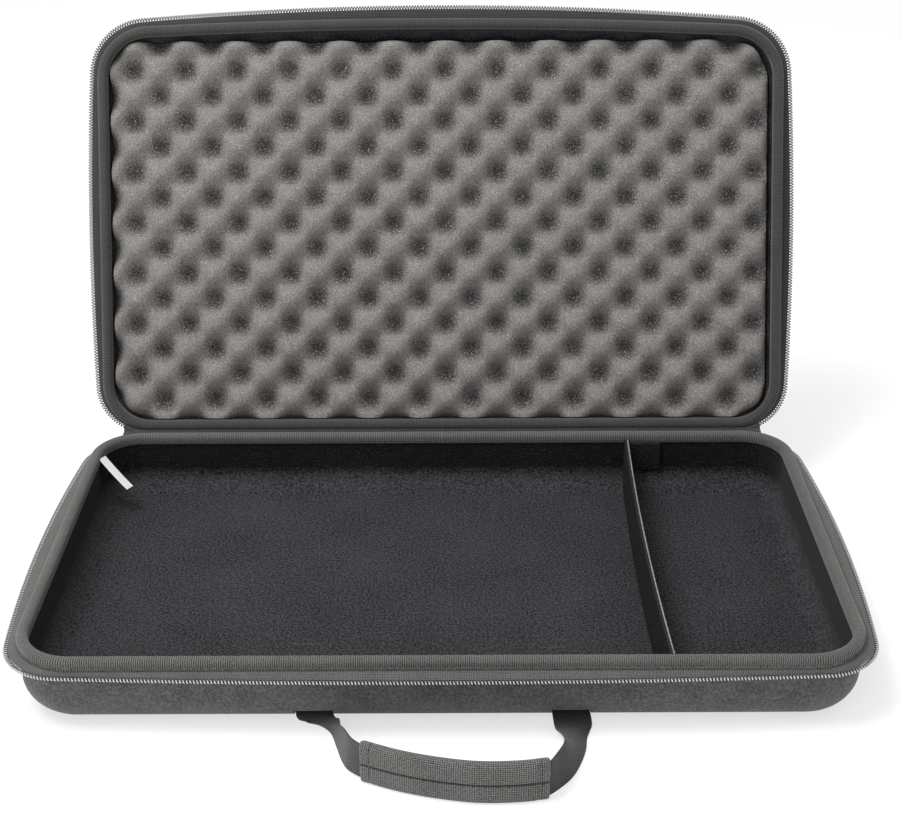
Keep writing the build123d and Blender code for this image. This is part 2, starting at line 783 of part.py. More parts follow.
def pull(side):
    pivot = wedge(side * slider_x, bail_pivot)
    with BuildPart() as piece:
        with BuildSketch(Plane(origin=pivot, x_dir=c_dir, z_dir=(-1, 0, 0))) as shape:
            with Locations((0, (pull_long - 0.9) / 2)):
                Rectangle(pull_wide, pull_long + 0.9)
            fillet(shape.vertices().group_by(Axis.Y)[-1], pull_wide / 2 - 0.2)
            with Locations((0, 4.05)):
                Rectangle(3.8, 6.7, mode=Mode.SUBTRACT)
        extrude(amount=pull_thick / 2, both=True)
        fillet(piece.edges().group_by(wedge_out)[0], pull_thick / 2 - 0.05)
    return piece.part


with BuildPart() as zip_chain_left:
    add(chain(-1))
    add(tray_a, mode=Mode.SUBTRACT)
zip_chain_left.part.label = "zip_chain_left"
export_step(zip_chain_left.part, "parts/zip_chain_left.step")

with BuildPart() as zip_chain_right:
    add(chain(1))
    add(tray_a, mode=Mode.SUBTRACT)
zip_chain_right.part.label = "zip_chain_right"
export_step(zip_chain_right.part, "parts/zip_chain_right.step")

with BuildPart() as zip_stop_left:
    add(stop(-1))
zip_stop_left.part.label = "zip_stop_left"
export_step(zip_stop_left.part, "parts/zip_stop_left.step")

with BuildPart() as zip_stop_right:
    add(stop(1))
zip_stop_right.part.label = "zip_stop_right"
export_step(zip_stop_right.part, "parts/zip_stop_right.step")

with BuildPart() as zip_slider_left:
    add(slider(-1))
zip_slider_left.part.label = "zip_slider_left"
export_step(zip_slider_left.part, "parts/zip_slider_left.step")

with BuildPart() as zip_slider_right:
    add(slider(1))
zip_slider_right.part.label = "zip_slider_right"
export_step(zip_slider_right.part, "parts/zip_slider_right.step")

with BuildPart() as zip_pull_left:
    add(pull(-1))
zip_pull_left.part.label = "zip_pull_left"
export_step(zip_pull_left.part, "parts/zip_pull_left.step")

with BuildPart() as zip_pull_right:
    add(pull(1))
zip_pull_right.part.label = "zip_pull_right"
export_step(zip_pull_right.part, "parts/zip_pull_right.step")
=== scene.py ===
import math
import bpy
import numpy as np
from mathutils import Vector, Matrix


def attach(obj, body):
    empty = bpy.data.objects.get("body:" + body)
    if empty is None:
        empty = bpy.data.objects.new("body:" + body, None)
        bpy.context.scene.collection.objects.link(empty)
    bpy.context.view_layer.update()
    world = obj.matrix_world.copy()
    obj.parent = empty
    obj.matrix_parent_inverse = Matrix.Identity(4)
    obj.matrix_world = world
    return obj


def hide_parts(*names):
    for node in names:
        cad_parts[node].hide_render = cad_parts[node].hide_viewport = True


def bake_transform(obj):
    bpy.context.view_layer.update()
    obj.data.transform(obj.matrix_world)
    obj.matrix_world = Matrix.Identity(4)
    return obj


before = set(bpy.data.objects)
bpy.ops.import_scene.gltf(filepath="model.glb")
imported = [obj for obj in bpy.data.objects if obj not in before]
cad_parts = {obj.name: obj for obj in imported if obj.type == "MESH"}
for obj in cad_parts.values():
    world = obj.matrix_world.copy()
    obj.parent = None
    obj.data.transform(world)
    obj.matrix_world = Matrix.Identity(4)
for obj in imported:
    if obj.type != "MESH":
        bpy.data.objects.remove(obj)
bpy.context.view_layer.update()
print("frame loaded")

# A piece's lengths are millimetres in the case's own frame, which place() turns into metres.
# A material's lengths, UV sizes and the zip tape's cut width are metres.
case = {
    "trayHeight": 61.0,
    "hingeY": 181.5,
    "lidLean": 21.9,
    "rimBack": 9.3,
    "rimFront": 354.0,
}
lean = math.radians(case["lidLean"])
hingePoint = np.array([0.0, case["hingeY"], case["trayHeight"]])
trayAxes = np.array([[1.0, 0, 0], [0, -1.0, 0], [0, 0, 1.0]])
lidAxes = np.array([
    [1.0, 0, 0],
    [0, math.sin(lean), math.cos(lean)],
    [0, -math.cos(lean), math.sin(lean)],
])
axesOf = {"tray": trayAxes, "lid": lidAxes}


# x, v (from the hinge line to the front) and h (over the rim plane) to metres in the scene
def place(points, axes):
    return (np.asarray(points) @ axes + hingePoint) * 0.001


# the same for the tray, with the heights counted from its underside
def placeFromFloor(points):
    return place(points, trayAxes) - np.array([0, 0, case["trayHeight"] * 0.001])


def clearSelection():
    if bpy.context.object and bpy.context.object.mode != "OBJECT":
        bpy.ops.object.mode_set(mode="OBJECT")
    bpy.ops.object.select_all(action="DESELECT")


def makeActive(obj):
    clearSelection()
    obj.select_set(True)
    bpy.context.view_layer.objects.active = obj


def smooth(obj, angle):
    makeActive(obj)
    bpy.ops.object.shade_smooth_by_angle(angle=math.radians(angle))


def faceOutwards(obj):
    makeActive(obj)
    bpy.ops.object.mode_set(mode="EDIT")
    bpy.ops.mesh.select_all(action="SELECT")
    bpy.ops.mesh.normals_make_consistent(inside=False)
    bpy.ops.object.mode_set(mode="OBJECT")


# the end of each piece's shaping: outward faces, soft shading and its material
def surface(obj, angle, material):
    faceOutwards(obj)
    smooth(obj, angle)
    obj.data.materials.append(material)


# gives a sheet its thickness, half of it on each side
def thicken(obj, thickness):
    mod = obj.modifiers.new("thickness", "SOLIDIFY")
    mod.thickness = thickness * 0.001
    mod.offset = 0
    makeActive(obj)
    bpy.ops.object.modifier_apply(modifier=mod.name)


def joinPieces(name, pieces):
    makeActive(pieces[0])
    for p in pieces:
        p.select_set(True)
    bpy.ops.object.join()
    obj = bpy.context.object
    obj.name = name
    obj.data.name = name
    return obj


def pointsOf(mesh):
    co = np.empty(len(mesh.vertices) * 3)
    mesh.vertices.foreach_get("co", co)
    return co.reshape(-1, 3)


# points closer than this, in metres, are one point where a grid meets itself
weldDistance = 1e-6


# a grid of cells shaped by a function of its two directions, each from 0 to 1
def shapedGrid(name, cellsA, cellsB, shape, closed=False, uvSize=(1.0, 1.0)):
    clearSelection()
    bpy.ops.mesh.primitive_grid_add(x_subdivisions=cellsA, y_subdivisions=cellsB, size=1)
    obj = bpy.context.object
    obj.name = name
    mesh = obj.data
    mesh.name = name
    a, b = np.clip(pointsOf(mesh)[:, :2] + 0.5, 0, 1).T
    mesh.vertices.foreach_set("co", np.asarray(shape(a, b), dtype=float).ravel())
    uv = np.empty(len(mesh.loops) * 2)
    layer = mesh.uv_layers.active
    layer.data.foreach_get("uv", uv)
    layer.data.foreach_set("uv", (uv.reshape(-1, 2) * np.array(uvSize)).ravel())
    if closed:
        bpy.ops.object.mode_set(mode="EDIT")
        bpy.ops.mesh.select_all(action="SELECT")
        bpy.ops.mesh.remove_doubles(threshold=weldDistance)
        bpy.ops.object.mode_set(mode="OBJECT")
    mesh.update()
    return obj


# the values of lists at places between their entries
def between(at, *lists):
    return [np.interp(at, np.arange(len(values)), values) for values in lists]


# how far along a line each of its points lies
def runOf(line):
    return np.concatenate([[0], np.cumsum(np.linalg.norm(np.diff(line, axis=0), axis=1))])


# rounder or squarer than the plain value, with its sign kept
def squared(value, power):
    return np.sign(value) * np.abs(value) ** power


# a round tube along a line of points; upright is a direction that the line never takes
def tube(name, line, radius, sides, upright, toScene=None, uvSize=(1.0, 1.0)):
    line = np.asarray(line, dtype=float)
    last = len(line) - 1
    tangent = np.gradient(line, axis=0)
    tangent /= np.maximum(np.linalg.norm(tangent, axis=1)[:, None], 1e-9)
    side = np.cross(tangent, np.array(upright))
    side /= np.maximum(np.linalg.norm(side, axis=1)[:, None], 1e-9)
    lift = np.cross(side, tangent)

    def shape(a, b):
        i = np.clip(np.round(a * last).astype(int), 0, last)
        angle = b * 2 * math.pi
        sideways, upwards = np.cos(angle) * radius, np.sin(angle) * radius
        points = line[i] + side[i] * sideways[:, None] + lift[i] * upwards[:, None]
        return toScene(points) if toScene else points

    return shapedGrid(name, last, sides, shape, closed=True, uvSize=uvSize)


# a smooth line through a few points, as many samples as asked for
def smoothLine(points, count):
    pts = np.asarray(points, dtype=float)
    pts = np.concatenate([[2 * pts[0] - pts[1]], pts, [2 * pts[-1] - pts[-2]]])
    spans = len(pts) - 3
    at = np.linspace(0, spans, count)
    k = np.clip(at.astype(int), 0, spans - 1)
    t = (at - k)[:, None]
    p0, p1, p2, p3 = pts[k], pts[k + 1], pts[k + 2], pts[k + 3]
    curve = (2 * p0 - 5 * p1 + 4 * p2 - p3) * t ** 2 + (3 * p1 - p0 - 3 * p2 + p3) * t ** 3
    return 0.5 * (2 * p1 + (p2 - p0) * t + curve)


# Shader maths as plain expressions on sockets.
class Sum:
    def __init__(self, book, socket):
        self.book = book
        self.socket = socket

    def maths(self, operation, *others):
        return self.book.maths(operation, self, *others)

    def __add__(self, other):
        return self.maths("ADD", other)

    def __sub__(self, other):
        return self.maths("SUBTRACT", other)

    def __rsub__(self, other):
        return self.book.maths("SUBTRACT", other, self)

    def __mul__(self, other):
        return self.maths("MULTIPLY", other)


# The nodes of one material or of the world. node() makes any node from its type, its settings and
# its sockets' values, where i0 is the first socket.
class Book:
    def __init__(self, owner, output="ShaderNodeOutputMaterial"):
        owner.use_nodes = True
        self.owner = owner
        self.tree = owner.node_tree
        self.tree.nodes.clear()
        self.output = self.tree.nodes.new(output)

    def fill(self, socket, value):
        if isinstance(value, Sum):
            self.tree.links.new(value.socket, socket)
        elif socket.type == "RGBA" and len(value) == 3:
            socket.default_value = (*value, 1)
        else:
            socket.default_value = value

    def node(self, kind, settings=None, **sockets):
        made = self.tree.nodes.new(kind)
        for key, value in (settings or {}).items():
            setattr(made, key, value)
        for key, value in sockets.items():
            numbered = key[0] == "i" and key[1:].isdigit()
            self.fill(made.inputs[int(key[1:]) if numbered else key.replace("_", " ")], value)
        return made

    def out(self, made, key=0):
        return Sum(self, made.outputs[key])

    def maths(self, operation, *values):
        made = self.tree.nodes.new("ShaderNodeMath")
        made.operation = operation
        for socket, value in zip(made.inputs, values):
            self.fill(socket, value)
        return self.out(made)

    def coordinates(self, source):
        return self.out(self.node("ShaderNodeTexCoord"), source)

    def split(self, vector):
        made = self.node("ShaderNodeSeparateXYZ", None, Vector=vector)
        return [self.out(made, i) for i in range(3)]

    def noise(self, at, scale, detail):
        return self.out(self.node("ShaderNodeTexNoise", None, Vector=at, Scale=scale, Detail=detail))

    def cells(self, at, scale):
        return self.out(self.node("ShaderNodeTexVoronoi", None, Vector=at, Scale=scale))

    def ramp(self, mask, low, high):
        made = self.node("ShaderNodeValToRGB", None, Fac=mask)
        for element, at, shade in zip(made.color_ramp.elements, (low, high), (0.0, 1.0)):
            element.position = at
            element.color = (shade, shade, shade, 1)
        return self.out(made)

    # one colour or the other, chosen by a mask
    def mix(self, mask, first, second):
        return self.out(self.node("ShaderNodeMix", {"data_type": "RGBA"}, i0=mask, i6=first, i7=second), 2)

    def mixShaders(self, share, first, second):
        return self.node("ShaderNodeMixShader", None, i0=share, i1=self.out(first), i2=self.out(second))

    def bump(self, height, strength, distance):
        made = self.node("ShaderNodeBump", None, Height=height, Strength=strength, Distance=distance)
        return self.out(made)

    # 1 for what the camera sees, also in a gloss or through glass, and 0 for light that falls on things
    def seenDirectly(self):
        path = self.node("ShaderNodeLightPath")
        seen = self.out(path, "Is Camera Ray").maths("MAXIMUM", self.out(path, "Is Glossy Ray"))
        return seen.maths("MAXIMUM", self.out(path, "Is Transmission Ray"))

    def finish(self, shader):
        self.tree.links.new(shader.outputs[0], self.output.inputs[0])
        return self.owner

    def paint(self, colour, rough, specular, **sockets):
        made = self.node("ShaderNodeBsdfPrincipled", None, Base_Color=colour, Roughness=rough,
                         Specular_IOR_Level=specular, **sockets)
        return self.finish(made)


def materialBook(name):
    return Book(bpy.data.materials.new(name))


# Each finish's dark and light shade.
shades = {
    "cover": ((0.030, 0.028, 0.029), (0.088, 0.083, 0.085)),
    "lining": ((0.003, 0.003, 0.004), (0.050, 0.050, 0.054)),
    "binding": ((0.014, 0.014, 0.013), (0.125, 0.123, 0.117)),
    # the lid binding's shades are a darker copy of the binding's, a painted shade; the hinge uses them too
    "lidBindingShaded": ((0.009, 0.009, 0.009), (0.058, 0.057, 0.055)),
    "tape": ((0.020, 0.020, 0.019), (0.122, 0.120, 0.114)),
    # the lid tape's shades are a darker copy of the tape's: painted shade
    "lidTapeShaded": ((0.008, 0.008, 0.008), (0.036, 0.036, 0.035)),
    "webbing": ((0.004, 0.004, 0.004), (0.056, 0.056, 0.055)),
    # the right strap's shades are a darker copy of the webbing's: painted shade
    "webbingShaded": ((0.003, 0.003, 0.003), (0.036, 0.036, 0.036)),
    "sleeve": ((0.014, 0.014, 0.013), (0.155, 0.153, 0.147)),
    "divider": ((0.003, 0.003, 0.003), (0.022, 0.022, 0.023)),
    "foam": ((0.012, 0.0115, 0.011), (0.190, 0.178, 0.169)),
    # the nylon's light shade is the painted highlight on the coil's heads
    "nylon": ((0.010, 0.010, 0.010), (0.52, 0.52, 0.51)),
    # the lid's coil has a darker copy of the nylon's shades: painted shade
    "lidNylonShaded": ((0.008, 0.008, 0.008), (0.10, 0.10, 0.098)),
    "chain": ((0.010, 0.010, 0.010), (0.05, 0.05, 0.05)),
    # the pale shade of the divider's top ridge, a painted highlight
    "edgeHighlight": ((0.08, 0.079, 0.075), (0.30, 0.297, 0.285)),
    "metal": ((0.02, 0.02, 0.021), (0.05, 0.05, 0.052)),
    "hooks": ((0.008, 0.008, 0.008), (0.03, 0.03, 0.03)),
    "tag": ((0.72, 0.72, 0.71), (0.9, 0.9, 0.89)),
    "board": ((0.02, 0.02, 0.021), (0.05, 0.05, 0.05)),
    "thread": ((0.05, 0.05, 0.05), (0.16, 0.16, 0.158)),
}

# What all cloths share: how much of their colour and relief is thread, fibre and slow wear.
clothLook = {
    "fineRibs": 2.2, "fineShare": 0.15, "ribShare": 0.36, "twillTurn": 0.707,
    "thread": 0.5, "fibre": 0.5, "fibreDetail": 2.0, "wear": 0.4, "wearScale": 45.0, "wearDetail": 3.0,
    "threadRelief": 0.8, "fibreRelief": 0.4, "relief": 0.7,
    "rough": 0.85, "sheenRough": 0.5, "specular": 0.25,
}


# A woven cloth on the piece's own UV in metres, or a knit on its object coordinates.
def clothMaterial(name, dark, light, pitch, weave="knit", sheen=0.15, depth=0.0004, wear=0.5,
                  stops=(0.36, 0.66), grain=620.0, marks=None):
    look = clothLook
    book = materialBook(name)
    at = book.coordinates("Object" if weave == "knit" else "UV")
    x, y, _ = book.split(at)
    turn = 2 * math.pi / pitch
    if weave == "knit":
        # on a moulded form the threads show as an even knit, because no flat direction fits its corners
        height = book.cells(at, 1 / pitch)
    elif weave == "ribs":
        fine = (y * (turn * look["fineRibs"])).maths("SINE") * look["fineShare"]
        height = (x * turn).maths("SINE") * look["ribShare"] + 0.5 + fine
    elif weave == "twill":
        one = ((x + y) * (turn * look["twillTurn"])).maths("SINE")
        two = ((x - y) * (turn * look["twillTurn"])).maths("SINE")
        height = one * two * 0.5 + 0.5
    else:
        height = (x * turn).maths("SINE") * (y * turn).maths("SINE") * 0.5 + 0.5
    fibre = book.noise(at, grain, look["fibreDetail"])
    patches = book.noise(at, look["wearScale"], look["wearDetail"])
    worn = wear * look["wear"]
    mask = (height * look["thread"] + fibre * look["fibre"]) * (1 - worn) + patches * worn
    if marks is not None:
        mask = mask - marks(x, y)
    colour = book.mix(book.ramp(mask, *stops), dark, light)
    relief = book.bump(height * look["threadRelief"] + fibre * look["fibreRelief"], look["relief"], depth)
    return book.paint(colour, look["rough"], look["specular"], Normal=relief, Sheen_Weight=sheen,
                      Sheen_Roughness=look["sheenRough"])


# Brushed lining: short matt fibres with faint machine lines, a painted highlight where it bends from
# floor to wall, and painted shade that darkens its walls.
fleeceLook = {
    "stretch": (110.0, 1500.0, 1500.0), "fibreScale": 560.0, "fineScale": 1300.0, "patchScale": 14.0,
    "lines": 0.3, "fibre": 0.45, "floorFibre": 0.3, "fine": 0.15, "patches": 0.1, "bendHighlight": 0.34,
    "wallShade": 0.13, "stops": (0.38, 0.66), "fibreRelief": 0.6, "lineRelief": 0.5, "fineRelief": 0.3,
    "relief": 0.8, "depth": 0.0005, "rough": 0.95, "sheen": 0.04, "sheenRough": 0.6, "specular": 0.05,
}


def fleeceMaterial(name, dark, light):
    look = fleeceLook
    book = materialBook(name)
    at = book.coordinates("Object")
    stretched = book.node("ShaderNodeMapping", {"vector_type": "POINT"}, Vector=at, Scale=look["stretch"])
    lines = book.noise(book.out(stretched), 1.0, 2.0)
    fibre = book.noise(at, look["fibreScale"], 3.0)
    fine = book.cells(at, look["fineScale"])
    patches = book.noise(at, look["patchScale"], 3.0)
    level = book.split(book.coordinates("Normal"))[2].maths("ABSOLUTE")
    wall = 1 - level
    mask = lines * (wall * look["lines"]) + fibre * (level * look["floorFibre"] + look["fibre"])
    mask = mask + fine * look["fine"] + patches * look["patches"]
    # the painted highlight where floor bends into wall, and the painted shade on the walls
    mask = mask + level * wall * look["bendHighlight"] - wall * look["wallShade"]
    colour = book.mix(book.ramp(mask, *look["stops"]), dark, light)
    height = fibre * look["fibreRelief"] + lines * look["lineRelief"] + fine * look["fineRelief"]
    relief = book.bump(height, look["relief"], look["depth"])
    return book.paint(colour, look["rough"], look["specular"], Normal=relief, Sheen_Weight=look["sheen"],
                      Sheen_Roughness=look["sheenRough"])


# Open-cell foam: dark pores, small bright cell walls, a few glints as painted highlights, and painted shade
# in its pits.
porousLook = {
    "cellScale": 720.0, "grainScale": 1100.0, "glintScale": 780.0, "patchScale": 30.0,
    "grain": 0.6, "cells": 0.3, "patches": 0.1, "pitShade": 0.33, "stops": (0.2, 0.62),
    "glintStops": (0.64, 0.7), "glints": 0.5, "glint": (0.36, 0.35, 0.34),
    "grainRelief": 0.6, "cellRelief": 0.6, "relief": 0.9, "depth": 0.0008,
    "rough": 0.8, "sheen": 0.1, "specular": 0.3,
}


def foamMaterial(name, dark, light):
    look = porousLook
    book = materialBook(name)
    at = book.coordinates("Object")
    cells = book.cells(at, look["cellScale"])
    grain = book.noise(at, look["grainScale"], 2.0)
    glints = book.noise(at, look["glintScale"], 1.0)
    patches = book.noise(at, look["patchScale"], 2.0)
    # how deep each point lies in a pit, which darkens the colour as painted shade
    pitShadeDepth = book.out(book.node("ShaderNodeAttribute", {"attribute_name": "pitDepth"}), 2)
    mask = grain * look["grain"] + cells * look["cells"] + patches * look["patches"] - pitShadeDepth * look["pitShade"]
    colour = book.mix(book.ramp(mask, *look["stops"]), dark, light)
    # the glints are painted highlights, pale specks mixed into the colour
    colour = book.mix(book.ramp(glints, *look["glintStops"]) * look["glints"], colour, look["glint"])
    height = grain * look["grainRelief"] + cells * look["cellRelief"]
    relief = book.bump(height, look["relief"], look["depth"])
    return book.paint(colour, look["rough"], look["specular"], Normal=relief, Sheen_Weight=look["sheen"])


# Metal, nylon, board and hook pile: a fine grain in colour, roughness and relief.
plainLook = {"stops": (0.35, 0.65), "relief": 0.3, "roughSwing": 0.2, "specular": 0.5}


def plainMaterial(name, dark, light, rough, metal=0.0, scale=300.0, depth=0.0001):
    look = plainLook
    book = materialBook(name)
    grain = book.noise(book.coordinates("Object"), scale, 3.0)
    colour = book.mix(book.ramp(grain, *look["stops"]), dark, light)
    roughness = grain * look["roughSwing"] + (rough - look["roughSwing"] / 2)
    relief = book.bump(grain, look["relief"], depth)
    return book.paint(colour, roughness, look["specular"], Normal=relief, Metallic=metal)


# Nylon coil: the UV counts its turns, and the outer and inner heads of each turn are lighter, a painted
# highlight.
nylonLook = {
    "outer": 0.6, "outerBase": 0.4, "inner": -0.72, "stops": (0.45, 0.95), "rough": 0.3, "specular": 0.35,
}


def coilMaterial(name, dark, light):
    look = nylonLook
    book = materialBook(name)
    turn = (book.split(book.coordinates("UV"))[0] * (2 * math.pi)).maths("COSINE")
    # painted highlight on each turn's outer and inner heads
    headHighlight = (turn * look["outer"] + look["outerBase"]).maths("MAXIMUM", turn * look["inner"])
    colour = book.mix(book.ramp(headHighlight, *look["stops"]), dark, light)
    return book.paint(colour, look["rough"], look["specular"])


# The divider's skin: dark faces, and a lighter band along the folded top edge, a painted highlight.
dividerLook = {
    "edge": (0.017, 0.017, 0.016), "top": 0.056, "edgeHigh": 0.0007, "sharpness": 2500.0, "ragged": 0.4,
    "highlightStops": (0.55, 1.0), "grainScale": 620.0, "stops": (0.36, 0.66), "relief": 0.7, "depth": 0.0005,
    "rough": 0.92, "specular": 0.1,
}


def dividerMaterial(name, dark, light):
    look = dividerLook
    book = materialBook(name)
    at = book.coordinates("Object")
    grain = book.noise(at, look["grainScale"], 3.0)
    face = book.mix(book.ramp(grain, *look["stops"]), dark, light)
    # a lighter band along the top edge: painted highlight
    over = book.split(at)[2] - (look["top"] - look["edgeHigh"])
    edge = book.ramp(over * look["sharpness"] + grain * look["ragged"], *look["highlightStops"])
    relief = book.bump(grain, look["relief"], look["depth"])
    return book.paint(book.mix(edge, face, look["edge"]), look["rough"], look["specular"], Normal=relief)


# 1 on a line, fading to 0 at the given distance from it
def fading(distance, half):
    return 1 - (distance * (1 / half)).maths("MINIMUM", 1.0)


sleeveSeams = {"length": 0.1355, "round": 0.078, "end": 0.008, "half": 0.0007, "stitch": 0.0034, "depth": 0.5}
tapeShadow = {"wide": 0.0016, "depth": 0.45}
hemStitches = {"at": 0.0024, "half": 0.0015, "pitch": 0.0025, "slant": 1200.0, "depth": 0.3, "base": 0.02}


# the sleeve's seam and the stitch rows near its ends, as marks on its UV
def sleeveMarks(x, y):
    k = sleeveSeams
    seam = fading(y.maths("MINIMUM", k["round"] - y), k["half"])
    near = (x - k["end"]).maths("ABSOLUTE").maths("MINIMUM", (x - (k["length"] - k["end"])).maths("ABSOLUTE"))
    dash = (y * (2 * math.pi / k["stitch"])).maths("SINE") * 0.5 + 0.5
    return (seam + fading(near, k["half"]) * dash) * k["depth"]


# the shadow line where a tape comes out from under the binding
def tapeMarks(x, y):
    return fading(y, tapeShadow["wide"]) * tapeShadow["depth"]


# the overlock stitches on the binding's outer hem
def hemMarks(x, y):
    k = hemStitches
    band = fading((y - k["at"]).maths("ABSOLUTE"), k["half"])
    dots = (x * (2 * math.pi / k["pitch"]) + y * k["slant"]).maths("SINE")
    return band * (dots * k["depth"] + k["base"])


ribbed = dict(pitch=0.0016, weave="ribs", wear=0.3)
hemmed = dict(ribbed, grain=760.0, marks=hemMarks)
twill = dict(pitch=0.0024, weave="twill", wear=0.3)
webbed = dict(pitch=0.0026, depth=0.0006, wear=0.3)
coverCloth = clothMaterial("coverCloth", *shades["cover"], pitch=0.0021, wear=0.7, stops=(0.34, 0.66))
liningFleece = fleeceMaterial("liningFleece", *shades["lining"])
bindingRib = clothMaterial("bindingRib", *shades["binding"], **hemmed)
# the lid's binding and the hinge take the darker copy of the binding's colours: painted shade
lidBindingRibShaded = clothMaterial("lidBindingRibShaded", *shades["lidBindingShaded"], **hemmed)
hingeRibShaded = clothMaterial("hingeRibShaded", *shades["lidBindingShaded"], **ribbed)
tapeTwill = clothMaterial("tapeTwill", *shades["tape"], marks=tapeMarks, **twill)
# the lid's tape takes a darker copy of the tape's colours: painted shade
lidTapeTwillShaded = clothMaterial("lidTapeTwillShaded", *shades["lidTapeShaded"], **twill)
webbingWeave = clothMaterial("webbingWeave", *shades["webbing"], weave="plain", **webbed)
# the right strap takes a darker copy of the webbing's colours: painted shade
webbingShaded = clothMaterial("webbingShaded", *shades["webbingShaded"], weave="plain", **webbed)
webbingPlain = clothMaterial("webbingPlain", *shades["webbing"], **webbed)
sleeveWeave = clothMaterial("sleeveWeave", *shades["sleeve"], pitch=0.0022, weave="twill", depth=0.0006,
                            wear=0.3, marks=sleeveMarks)
foamCells = foamMaterial("foamCells", *shades["foam"])
zipNylon = coilMaterial("zipNylon", *shades["nylon"])
# the lid's coil takes a darker copy of the coil's colours: painted shade
lidNylonShaded = coilMaterial("lidNylonShaded", *shades["lidNylonShaded"])
chainNylon = plainMaterial("chainNylon", *shades["chain"], rough=0.35, scale=900.0)
dividerSkin = dividerMaterial("dividerSkin", *shades["divider"])
# the divider's top ridge in a pale colour: a painted highlight
edgeHighlight = clothMaterial("edgeHighlight", *shades["edgeHighlight"], pitch=0.0009, wear=0.5)
zipMetal = plainMaterial("zipMetal", *shades["metal"], rough=0.38, metal=0.8)
hookPile = plainMaterial("hookPile", *shades["hooks"], rough=0.8, scale=1500.0, depth=0.0006)
tagSatin = clothMaterial("tagSatin", *shades["tag"], pitch=0.0007, weave="plain", wear=0.2, sheen=0.1)
boardFoam = plainMaterial("boardFoam", *shades["board"], rough=0.8, scale=900.0, depth=0.0004)
thread = clothMaterial("thread", *shades["thread"], pitch=0.0006, wear=0.2)
print("materials made")

# The rims of the two walls, and the lines that their zip coils follow.
rimShape = dict(sideBow=0.0, back=case["rimBack"], front=case["rimFront"], backRadius=33.0, frontRadius=38.0)
rims = {
    "tray": dict(rimShape, half=304.3, frontBow=0.0),
    "lid": dict(rimShape, half=300.8, frontBow=8.5),
}
coilShape = dict(back=-1.5, backRadius=43.0)
coils = {
    "tray": dict(coilShape, half=316.5, sideBow=11.0, front=364.0, frontBow=8.5, frontRadius=46.0),
    "lid": dict(coilShape, half=314.0, sideBow=6.0, front=368.0, frontBow=14.5, frontRadius=50.0),
}
rimDetail = {"short": 60, "long": 80, "rounds": 40, "leastBow": 0.05}


# The line of a rim outline with bowed sides and rounded corners, seen from above, as evenly spaced
# points with their outward directions. It starts at the middle of the back and goes round by +x.
def rimLine(half, sideBow, back, front, frontBow, backRadius, frontRadius, grow, count):
    short, long, leastBow = rimDetail["short"], rimDetail["long"], rimDetail["leastBow"]
    w, b, f = half + grow, back - grow, front + grow
    mid = (b + f) / 2
    rb, rf = backRadius + grow, frontRadius + grow

    def bowRadius(chordHalf, bow):
        return (chordHalf * chordHalf + bow * bow) / (2 * max(bow, leastBow))

    def arc(x, y, radius, start, end, points):
        angle = np.linspace(start, end, points)[1:]
        return np.stack([x + radius * np.cos(angle), y + radius * np.sin(angle)], 1)

    sideR = bowRadius((f - b) / 2, sideBow)
    sideX = w + max(sideBow, leastBow) - sideR
    frontR = bowRadius(w, frontBow)
    frontY = f + max(frontBow, leastBow) - frontR
    cbY = b + rb
    cbX = sideX + math.sqrt((sideR - rb) ** 2 - (cbY - mid) ** 2)
    # the front corner touches both bowed sides, which a few rounds of the two circles settle
    cfY = f - rf
    for _ in range(rimDetail["rounds"]):
        cfX = sideX + math.sqrt((sideR - rf) ** 2 - (cfY - mid) ** 2)
        cfY = frontY + math.sqrt((frontR - rf) ** 2 - cfX ** 2)
    backAngle = math.atan2(cbY - mid, cbX - sideX)
    frontSideAngle = math.atan2(cfY - mid, cfX - sideX)
    frontAngle = math.atan2(cfY - frontY, cfX)
    right = np.concatenate([
        np.array([[t, b] for t in np.linspace(0, cbX, short)]),
        arc(cbX, cbY, rb, -math.pi / 2, backAngle, short),
        arc(sideX, mid, sideR, backAngle, frontSideAngle, long),
        arc(cfX, cfY, rf, frontSideAngle, frontAngle, short),
        arc(0, frontY, frontR, frontAngle, math.pi / 2, long),
    ])
    line = np.concatenate([right, right[::-1][1:] * np.array([-1.0, 1.0])])
    run = runOf(line)
    at = np.linspace(0, run[-1], count)
    x = np.interp(at, run, line[:, 0])
    y = np.interp(at, run, line[:, 1])
    tx, ty = np.gradient(x), np.gradient(y)
    tx[0] = tx[-1] = 1.0
    ty[0] = ty[-1] = 0.0
    size = np.hypot(tx, ty)
    return x, y, ty / size, -tx / size, run[-1]


# The binding: ribbed tape folded over the wall's edge, puckered a little along its stitched hem.
bindingLook = {
    "wide": 9.0, "top": -0.3, "deep": 9.0, "round": 4.0, "roundPoints": 7, "hem": 2.2, "samples": 1500,
    "pucker": 0.25, "lift": 0.15, "draw": 0.1, "hemShare": 4, "waves": (0.9, 0.37), "waveShift": 1.3,
    "measured": 900,
}


# the tape's section as (outward, h) points, from the outer hem over the wall's edge to the inner one
def bindingSection():
    w, top, deep, r = bindingLook["wide"], bindingLook["top"], bindingLook["deep"], bindingLook["round"]
    hem = top - deep + bindingLook["hem"]
    pts = [(w - 1.0, top - deep + 0.2), (w - 0.3, top - deep), (w, top - deep + 0.5)]
    pts += [(w, hem), (w - 0.15, hem + 0.5), (w, top - r - 0.6)]
    for centre, start in ((w - r, 0), (r, math.pi / 2)):
        for t in np.linspace(start, start + math.pi / 2, bindingLook["roundPoints"]):
            pts.append((centre + r * math.cos(t), top - r + r * math.sin(t)))
    pts += [(0.0, top - r - 1.5), (0.0, top - deep + 0.5), (0.3, top - deep), (1.0, top - deep + 0.2)]
    return np.array(pts)


